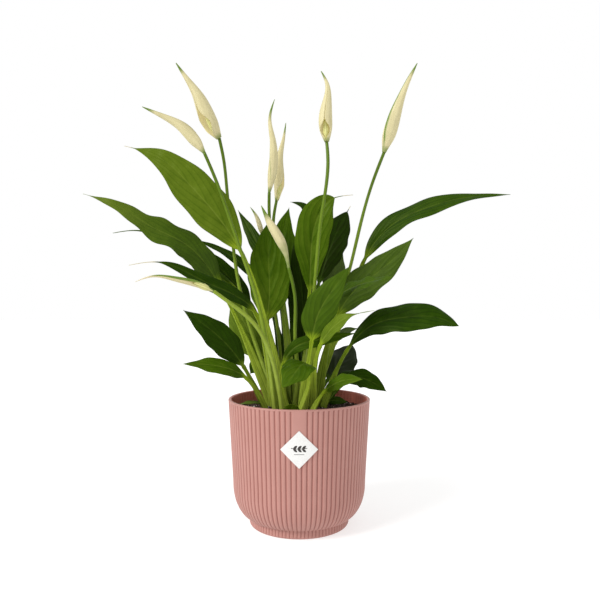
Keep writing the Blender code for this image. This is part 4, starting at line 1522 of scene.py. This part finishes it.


# Low tones of inner, back and lower leaves are partly painted shade: they are set darker where the plant
# shades them.
LEAVES: tuple[Leaf, ...] = (
    Leaf("upper_left", ((-20, -8, 0), (-58, -6, 155), (-82, -16, 191), (-105, -24, 217), (-131, -32, 240),
         (-163, -38, 250)), 20, -10, 20, 10, tone=0.46, fade=0.08, ripples=2.2, clasped=0.05, sheath=9.5,
         camber=0.1, veins=5.5, dry=0.05, tail=0.06),
    Leaf("long_left", ((-27, 1, 0), (-77, 2, 116), (-114, -4, 163), (-144, -14, 178), (-171, -24, 195),
         (-203, -34, 206)), 14.5, 0, 30, 12, tone=0.07, matte=0.45, fall=1.45, fade=0.65, wave=2.0,
         ripples=3.2, sheath=4.6, camber=0.14, ragged=0.09, veins=5.5),
    Leaf("left_behind", ((-27, 18, 0), (-63, 24, 115), (-97, 22, 139), (-130, 16, 163), (-160, 8, 176),
         (-186, 2, 173)), 8, 0, 45, 12, sheath=5.5, tail=0.25, thread=1.9),
    Leaf("left_narrow", ((-15, 28, 0), (-38, 46, 115), (-58, 50, 142), (-86, 52, 161), (-113, 54, 172)), 6,
         0, 40, 12, stem_tone=-0.7, tone=-0.5, wave=0.6, sheath=6.5),
    Leaf("left_dark", ((-21, 24, 0), (-51, 31, 103), (-64, 33, 120), (-85, 33, 142), (-107, 32, 166)), 10,
         0, 15, 12, stem_tone=-0.7, tone=-0.5, wave=0.9, sheath=6.5),
    Leaf("left_tailed", ((-22, -16, 0), (-34, -20, 66), (-42, -25, 94), (-62, -38, 112), (-90, -50, 125),
         (-124, -60, 140), (-151, -66, 137)), 8, 0, 30, 14, collar=2, tone=-0.45, wave=0.7, dry=0.2,
         tail=0.2, sheath=3.2),
    Leaf("pale_inner", ((-23, 7, 0), (-38, 9, 47), (-48, 11, 68), (-58, 15, 86), (-71, 20, 106)), 20, 0, 5,
         8, tone=0.38, wave=0.6, matte=0.2, sheath=5),
    Leaf("low_left", ((-33, -14, 0), (-53, -30, 44), (-65, -38, 62), (-84, -46, 81), (-105, -54, 97)), 13,
         0, 15, 12, stem_tone=-0.25, tone=-0.52, wave=1.0, camber=0.2, sheath=3.0),
    Leaf("lowest_left", ((-31, -22, 0), (-50, -38, 34), (-63, -48, 43), (-83, -56, 48), (-104, -62, 49)),
         9.5, 0, 45, 14, tone=0.02, camber=0.2, sheath=2.6),
    Leaf("dark_pocket", ((-30, 12, 0), (-31, 15, 34), (-40, 16, 40), (-50, 16, 31)), 12, 0, 20, 10,
         stem_tone=-0.7, tone=-0.4, sheath=3.6),
    Leaf("over_soil_left", ((-30, -16, 0), (-36, -20, 6), (-46, -26, 9), (-58, -30, 7)), 3.5, 0, 70, 12,
         tone=0.2, wave=0.3, sheath=2, matte=0.9),
    Leaf("centre_left", ((-12, 5, 0), (-32, 6, 86), (-30, 5, 110), (-31, 8, 144), (-32, 15, 185)), 21, 0, 5,
         10, stem_tone=-0.25, tone=0.08, fade=-0.15, wave=1.0, ripples=2.5, relief=0.6, veins=4.6,
         camber=0.12, sheath=6.5, rise=0.75, fall=1.0),
    Leaf("centre_back", ((-2, 18, 0), (-10, 38, 106), (-14, 46, 147), (-17, 53, 176), (-11, 58, 207)), 17,
         0, 0, 10, stem_tone=-0.7, tone=-0.08, wave=1.0, relief=0.4, sheath=6.2),
    Leaf("centre_hidden", ((3, 24, 0), (4, 28, 52), (4, 31, 100), (0, 35, 146), (-2, 40, 185)), 13, 0, 0,
         10, stem_tone=-0.7, tone=-0.8, sheath=6.2),
    Leaf("centre_folded", ((4, -6, 0), (10, -14, 110), (11, -20, 143), (15, -25, 178), (26, -26, 199),
         (52, -16, 208)), 17, 0, 10, 24, tone=0.12, clasped=0.1, sheath=7.5, dry=0.1, tail=0.16, relief=0.4,
         veins=4.6, rise=1.25, fall=0.8),
    Leaf("centre_dark", ((8, 13, 0), (20, 30, 122), (27, 36, 146), (40, 48, 179), (56, 62, 209)), 16, 0, 10,
         10, stem_tone=-0.7, tone=-0.85, wave=1.1, ripples=3.0, dry=0.05, tail=0.08, relief=0.4, veins=4.6,
         rise=1.0, fall=0.9, sheath=6),
    Leaf("centre_grey", ((6, 27, 0), (29, 46, 101), (37, 60, 128), (41, 78, 149), (47, 100, 176)), 12, 0,
         10, 10, stem_tone=-0.7, tone=-0.4, matte=0.9, sheath=6),
    Leaf("back_curled", ((-3, 28, 0), (14, 57, 148), (14, 68, 189), (5, 74, 211), (-10, 70, 215)), 10, 0,
         30, 12, stem_tone=-0.7, tone=-0.5, wave=0.5, sheath=6),
    Leaf("back_left", ((-9, 22, 0), (-30, 60, 134), (-46, 72, 167), (-59, 82, 190), (-70, 90, 209)), 8, 0,
         0, 10, stem_tone=-0.7, tone=-0.5, wave=0.5, sheath=6),
    Leaf("long_right", ((12, 5, 0), (44, 12, 90), (66, 9, 147), (87, 6, 177), (124, -4, 197),
         (162, -14, 206), (202, -24, 207)), 12.5, 0, 40, 14, collar=2, stem_tone=-0.25, tone=-0.34,
         fall=1.35, wave=1.2, ripples=2.6, sheath=3.6, camber=0.2),
    Leaf("olive_right", ((18, -1, 0), (38, 0, 90), (53, -4, 114), (76, -10, 133), (96, -16, 151),
         (110, -20, 166)), 17, 0, 30, 12, stem_tone=-0.25, tone=-0.24, matte=0.5, fade=0.05, wave=1.2,
         relief=0.4, sheath=5, camber=0.2),
    Leaf("mid_right", ((8, -11, 0), (30, -24, 103), (43, -36, 115), (63, -50, 123), (84, -64, 127)), 8, 0,
         45, 12, tone=-0.14, matte=0.2, wave=1.6, ripples=3.5, sheath=5.5),
    Leaf("front_light", ((3, -23, 0), (12, -38, 69), (17, -44, 92), (28, -50, 112), (46, -58, 137)), 15, 0,
         20, 12, tone=-0.08, fade=0.0, matte=0.25, wave=0.9, sheath=5.0, relief=0.4, rise=0.7, fall=1.2),
    Leaf("yellow_right", ((13, -18, 0), (20, -43, 65), (28, -54, 79), (43, -64, 91), (66, -74, 97)), 8, 0,
         40, 12, tone=0.5, wave=0.9, sheath=3.6, twist=60.0, tail=0.2, thread=1.7),
    Leaf("across_centre", ((-11, -22, 0), (-15, -30, 46), (-6, -30, 60), (19, -30, 69), (54, -30, 75)), 7,
         0, 20, 8, tone=-0.2, sheath=3.0, relief=0.4),
    Leaf("front_drooping", ((0, -29, 0), (9, -48, 46), (4, -58, 49), (-3, -76, 44), (-14, -90, 32)), 15, 0,
         60, 10, tone=0.02, wave=1.4, relief=0.45, veins=4.6, sheath=2.6, rise=0.6, fall=0.9),
    Leaf("low_right", ((24, -5, 0), (47, -14, 58), (70, -20, 82), (100, -30, 90), (129, -38, 90),
         (148, -42, 82)), 16, 0, 35, 14, stem_tone=-0.25, tone=-0.5, rise=1.25, fall=0.95, wave=1.1,
         ripples=2.8, camber=0.25, sheath=3.4),
    Leaf("shaded_right", ((13, 17, 0), (30, 26, 24), (41, 42, 36), (52, 62, 46), (59, 80, 56)), 16, 0, 20,
         10, stem_tone=-0.7, tone=-1.0, wave=1.0, rise=0.6, fall=0.8, sheath=3.4),
    Leaf("small_front_right", ((12, -28, 0), (24, -38, 21), (35, -50, 31), (46, -60, 35), (56, -68, 36)),
         8.5, 0, 40, 12, tone=0.1, wave=0.6, sheath=2.8, camber=0.2),
    Leaf("small_right_low", ((24, 3, 0), (46, 6, 23), (58, 8, 28), (71, 6, 25), (87, 0, 15)), 10, 0, 30, 14,
         stem_tone=-0.7, tone=-0.45, camber=0.2, sheath=2.6),
    Leaf("small_right_back", ((23, 10, 0), (35, 17, 23), (48, 23, 29), (62, 27, 30), (77, 31, 26)), 5, 0,
         50, 12, tone=-0.5, wave=0.5),
    Leaf("over_soil_right", ((18, 16, -1), (27, 11, 3.5), (38, 10, 5), (49, 11, 2.5)), 5, 0, 40, 12,
         stem_tone=-0.2, tone=-0.35, wave=0.3, sheath=1.6),
    Leaf("small_back", ((10, 22, 0), (39, 36, 62), (46, 47, 70), (55, 59, 74), (65, 67, 75)), 5, 0, 30, 12,
         tone=-0.4, wave=0.5, matte=0.7),
    Leaf("rim_front", ((-7, -38, -2), (-7, -42, 0), (-7, -44, 5), (-7, -46, 10.5)), 7, 0, 0, 12, tone=0.1,
         wave=0.3, sheath=1.6, rise=0.6, fall=0.6),
)

STALKS: tuple[FlowerStalk, ...] = (
    FlowerStalk("upper_left", ((-19, 1, 0), (-61, 7, 123), (-68, 9, 171), (-73, 9, 217), (-76, 7, 247),
                (-80, 3, 268))),
    FlowerStalk("far_left", ((-23, -26, 0), (-30, -31, 59), (-46, -27, 126), (-58, -23, 159),
                (-80, -26, 222), (-90, -30, 246))),
    FlowerStalk("centre_tall", ((-10, 10, 0), (-15, 20, 75), (-24, 24, 146), (-31, 24, 194),
                (-31, 22, 217))),
    FlowerStalk("centre_curved", ((-4, 11, 0), (-12, 28, 75), (-23, 34, 146), (-27, 36, 193),
                (-24, 36, 211))),
    FlowerStalk("centre_right", ((0, -13, 0), (6, -22, 59), (13, -28, 106), (20, -35, 179), (27, -34, 238),
                (26, -30, 256))),
    FlowerStalk("upper_right", ((17, 9, 0), (37, 17, 86), (52, 19, 139), (63, 18, 185), (74, 15, 224),
                (86, 12, 256))),
    FlowerStalk("front_centre", ((-5, -15, 0), (-2, -20, 39), (-4, -22, 74), (-4, -23, 108),
                (-10, -24, 137))),
    FlowerStalk("reclining", ((-16, -30, 0), (-29, -44, 63), (-42, -53, 86), (-55, -58, 98),
                (-76, -65, 114)), aged=0.8, middle=2.0),
    FlowerStalk("small_back", ((-16, 14, 0), (-24, 34, 85), (-33, 31, 138), (-37, 28, 169))),
)

BUDS: tuple[RolledSpathe, ...] = (
    RolledSpathe("far_left", ((-90, -30, 246), (-100, -31, 259), (-113, -33, 271), (-129, -36, 279),
                 (-146, -40, 286)), 5.5, 4.5, turns=0.35),
    RolledSpathe("centre_tall", ((-31, 22, 217), (-27, 21, 245), (-27, 19, 270), (-30, 17, 292),
                 (-25, 15, 311)), 4.6, 4.0, start=1.4, turns=0.5, green_tip=0.3),
    RolledSpathe("upper_right", ((86, 12, 256), (90, 12, 271), (98, 11, 297), (107, 10, 321),
                 (119, 8, 345)), 6.8, 5.0, start=2.45, turns=0.1, green_tip=0.18, seam_green=0.95,
                 seam_width=0.045),
    RolledSpathe("front_centre", ((-10, -24, 137), (-13, -25, 151), (-19, -26, 165), (-28, -27, 180),
                 (-36, -28, 196)), 4.7, 4.5, start=2.6, turns=0.2, green_tip=0.3, green_foot=0.6,
                 widest=0.5),
    RolledSpathe("small_back", ((-37, 28, 169), (-41, 28, 183), (-45, 28, 194), (-51, 28, 203)), 2.6, 2.6,
                 green_tip=0.4, green_foot=0.5, widest=0.45),
)

HOODS: tuple[OpenSpathe, ...] = (
    OpenSpathe("upper_left", ((-80, 3, 268), (-90, 0, 285), (-99, -2, 307), (-111, -5, 325),
               (-121, -8, 339)), 7.8, -50, 24, gape=52, gape_at=0.2, gape_span=0.12),
    OpenSpathe("centre_curved", ((-24, 36, 211), (-21, 36, 233), (-21, 35, 254), (-17, 34, 274),
               (-14, 33, 292)), 5.2, 55, 20, gape=70, gape_at=0.1, gape_span=0.12, green_rib=0.2),
    OpenSpathe("centre_right", ((26, -30, 256), (25, -29, 275), (27, -27, 297), (27, -26, 310),
               (21, -24, 325)), 6.4, -10, 22, gape=58, gape_at=0.14, gape_span=0.08),
    OpenSpathe("reclining", ((-76, -65, 114), (-92, -69, 121), (-109, -73, 125), (-127, -76, 127),
               (-142, -79, 122)), 3.0, 10, 20, gape=50, gape_at=0.15, gape_span=0.12, green_rib=1.0,
               dry_tail=0.24, green_edge=0.9),
)


@dataclass
class Studio:
    """Seamless white studio: floor, sky-like fill, one soft key at the front left, and the camera."""

    eye: tuple[float, float, float] = (0.0008, -0.610, 0.220)
    lens: float = 36.78
    floor_reach: float = 6.0
    floor_lines: int = 41
    key_place: tuple[float, float, float] = (-1.5, -1.1, 1.6)
    key_angle: float = math.radians(22)
    key_strength: float = 2.3
    horizon: float = 1.0
    zenith: float = 0.6
    fading: tuple[float, float] = (0.45, 0.85)  # heights on the sky between which the fill fades

    def build_floor(self, finish: StudioPaper) -> bpy.types.Object:
        """A large sheet whose grid is a little uneven in height far from the object, as laid paper is.

        Args:
            finish: the floor's finish.

        Returns:
            The floor.
        """
        steps = np.linspace(-self.floor_reach, self.floor_reach, self.floor_lines)
        x, y = np.meshgrid(steps, steps)
        distance = np.hypot(x, y)
        sag = -0.004 * smoothstep((distance - 1.0) / 4.0) * (1 + np.sin(x) * np.cos(y))
        points = np.stack([x, y, sag], axis=-1).reshape(-1, 3)
        number = np.arange(self.floor_lines**2).reshape(x.shape)
        quads = np.stack([number[:-1, :-1], number[:-1, 1:], number[1:, 1:], number[1:, :-1]], axis=-1)
        data = bpy.data.meshes.new("studio_floor")
        data.from_pydata(points.tolist(), [], quads.reshape(-1, 4).tolist())
        data.materials.append(finish.material())
        floor = bpy.data.objects.new("studio_floor", data)
        bpy.context.scene.collection.objects.link(floor)
        return floor

    def build_world(self) -> bpy.types.World:
        """A white fill, brightest at the horizon and softer overhead.

        Returns:
            The world.
        """
        world = bpy.data.worlds.new("studio_fill")
        world.use_nodes = True
        tree = world.node_tree
        place = tree.nodes.new("ShaderNodeTexCoord")
        split = tree.nodes.new("ShaderNodeSeparateXYZ")
        level = tree.nodes.new("ShaderNodeMapRange")
        tree.links.new(place.outputs["Generated"], split.inputs[0])
        tree.links.new(split.outputs["Z"], level.inputs["Value"])
        levels = {"From Min": self.fading[0], "From Max": self.fading[1], "To Min": self.horizon,
                  "To Max": self.zenith}
        for key, value in levels.items():
            level.inputs[key].default_value = value
        tree.links.new(level.outputs["Result"], tree.nodes["Background"].inputs["Strength"])
        tree.nodes["Background"].inputs["Color"].default_value = (1.0, 1.0, 1.0, 1.0)
        bpy.context.scene.world = world
        return world

    def build_key(self) -> bpy.types.Object:
        """The soft key, a sun aimed at the middle of the plant.

        Returns:
            The light.
        """
        data = bpy.data.lights.new("key", "SUN")
        data.energy = self.key_strength
        data.angle = self.key_angle
        light = bpy.data.objects.new("key", data)
        low, high = CAD_BOX
        aim = (low + high) / 2 - Vector(self.key_place)
        light.location = self.key_place
        light.rotation_euler = aim.to_track_quat("-Z", "Y").to_euler()
        bpy.context.scene.collection.objects.link(light)
        return light

    def build_camera(self) -> bpy.types.Object:
        """A level camera in front of the pot, looking along +Y.

        Returns:
            The camera.
        """
        data = bpy.data.cameras.new("camera")
        data.lens = self.lens
        data.sensor_width = 36.0
        data.clip_start, data.clip_end = 0.01, 50.0
        camera = bpy.data.objects.new("camera", data)
        camera.location = self.eye
        camera.rotation_euler = (math.pi / 2, 0.0, 0.0)
        bpy.context.scene.collection.objects.link(camera)
        bpy.context.scene.camera = camera
        return camera

    def build(self) -> None:
        """Floor, fill, key and camera, with plain sRGB tones so that white stays white."""
        self.build_floor(StudioPaper())
        self.build_world()
        self.build_key()
        self.build_camera()
        bpy.context.scene.view_settings.view_transform = "Standard"


def main() -> None:
    """Builds the pieces in order, then the studio round them."""
    logging.basicConfig(level=logging.INFO, format="%(message)s")
    pot = Pot()
    pot.build(MouldedPolypropylene())
    Label(pot).build(CoatedPaper())
    mix = PottingMix().material()
    Bed("soil_bed", "potting_soil", Slot.SOIL, 0.75 * MM, 2600, 6.0, 3).build(mix)
    Bed("crown_stock", "root_crown", Slot.CROWN, 0.9 * MM, 900, 2.0, 5, rise=2.2 * MM, rings=44,
        columns=140).build(mix)
    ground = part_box("root_crown")[1].z + CLEARANCE
    cuticle = LeafCuticle().material()
    for leaf in LEAVES:
        leaf.build(cuticle, ground)
    skin = StalkSkin().material()
    for stalk in STALKS:
        stalk.build(skin, ground)
    bract = SpatheBract().material()
    for bud in BUDS:
        bud.build(bract, ground)
    florets = SpadixFlorets().material()
    for hood in HOODS:
        hood.build(bract, ground)
        hood.build_spadix(florets, ground)
    Studio().build()


if __name__ == "__main__":
    main()
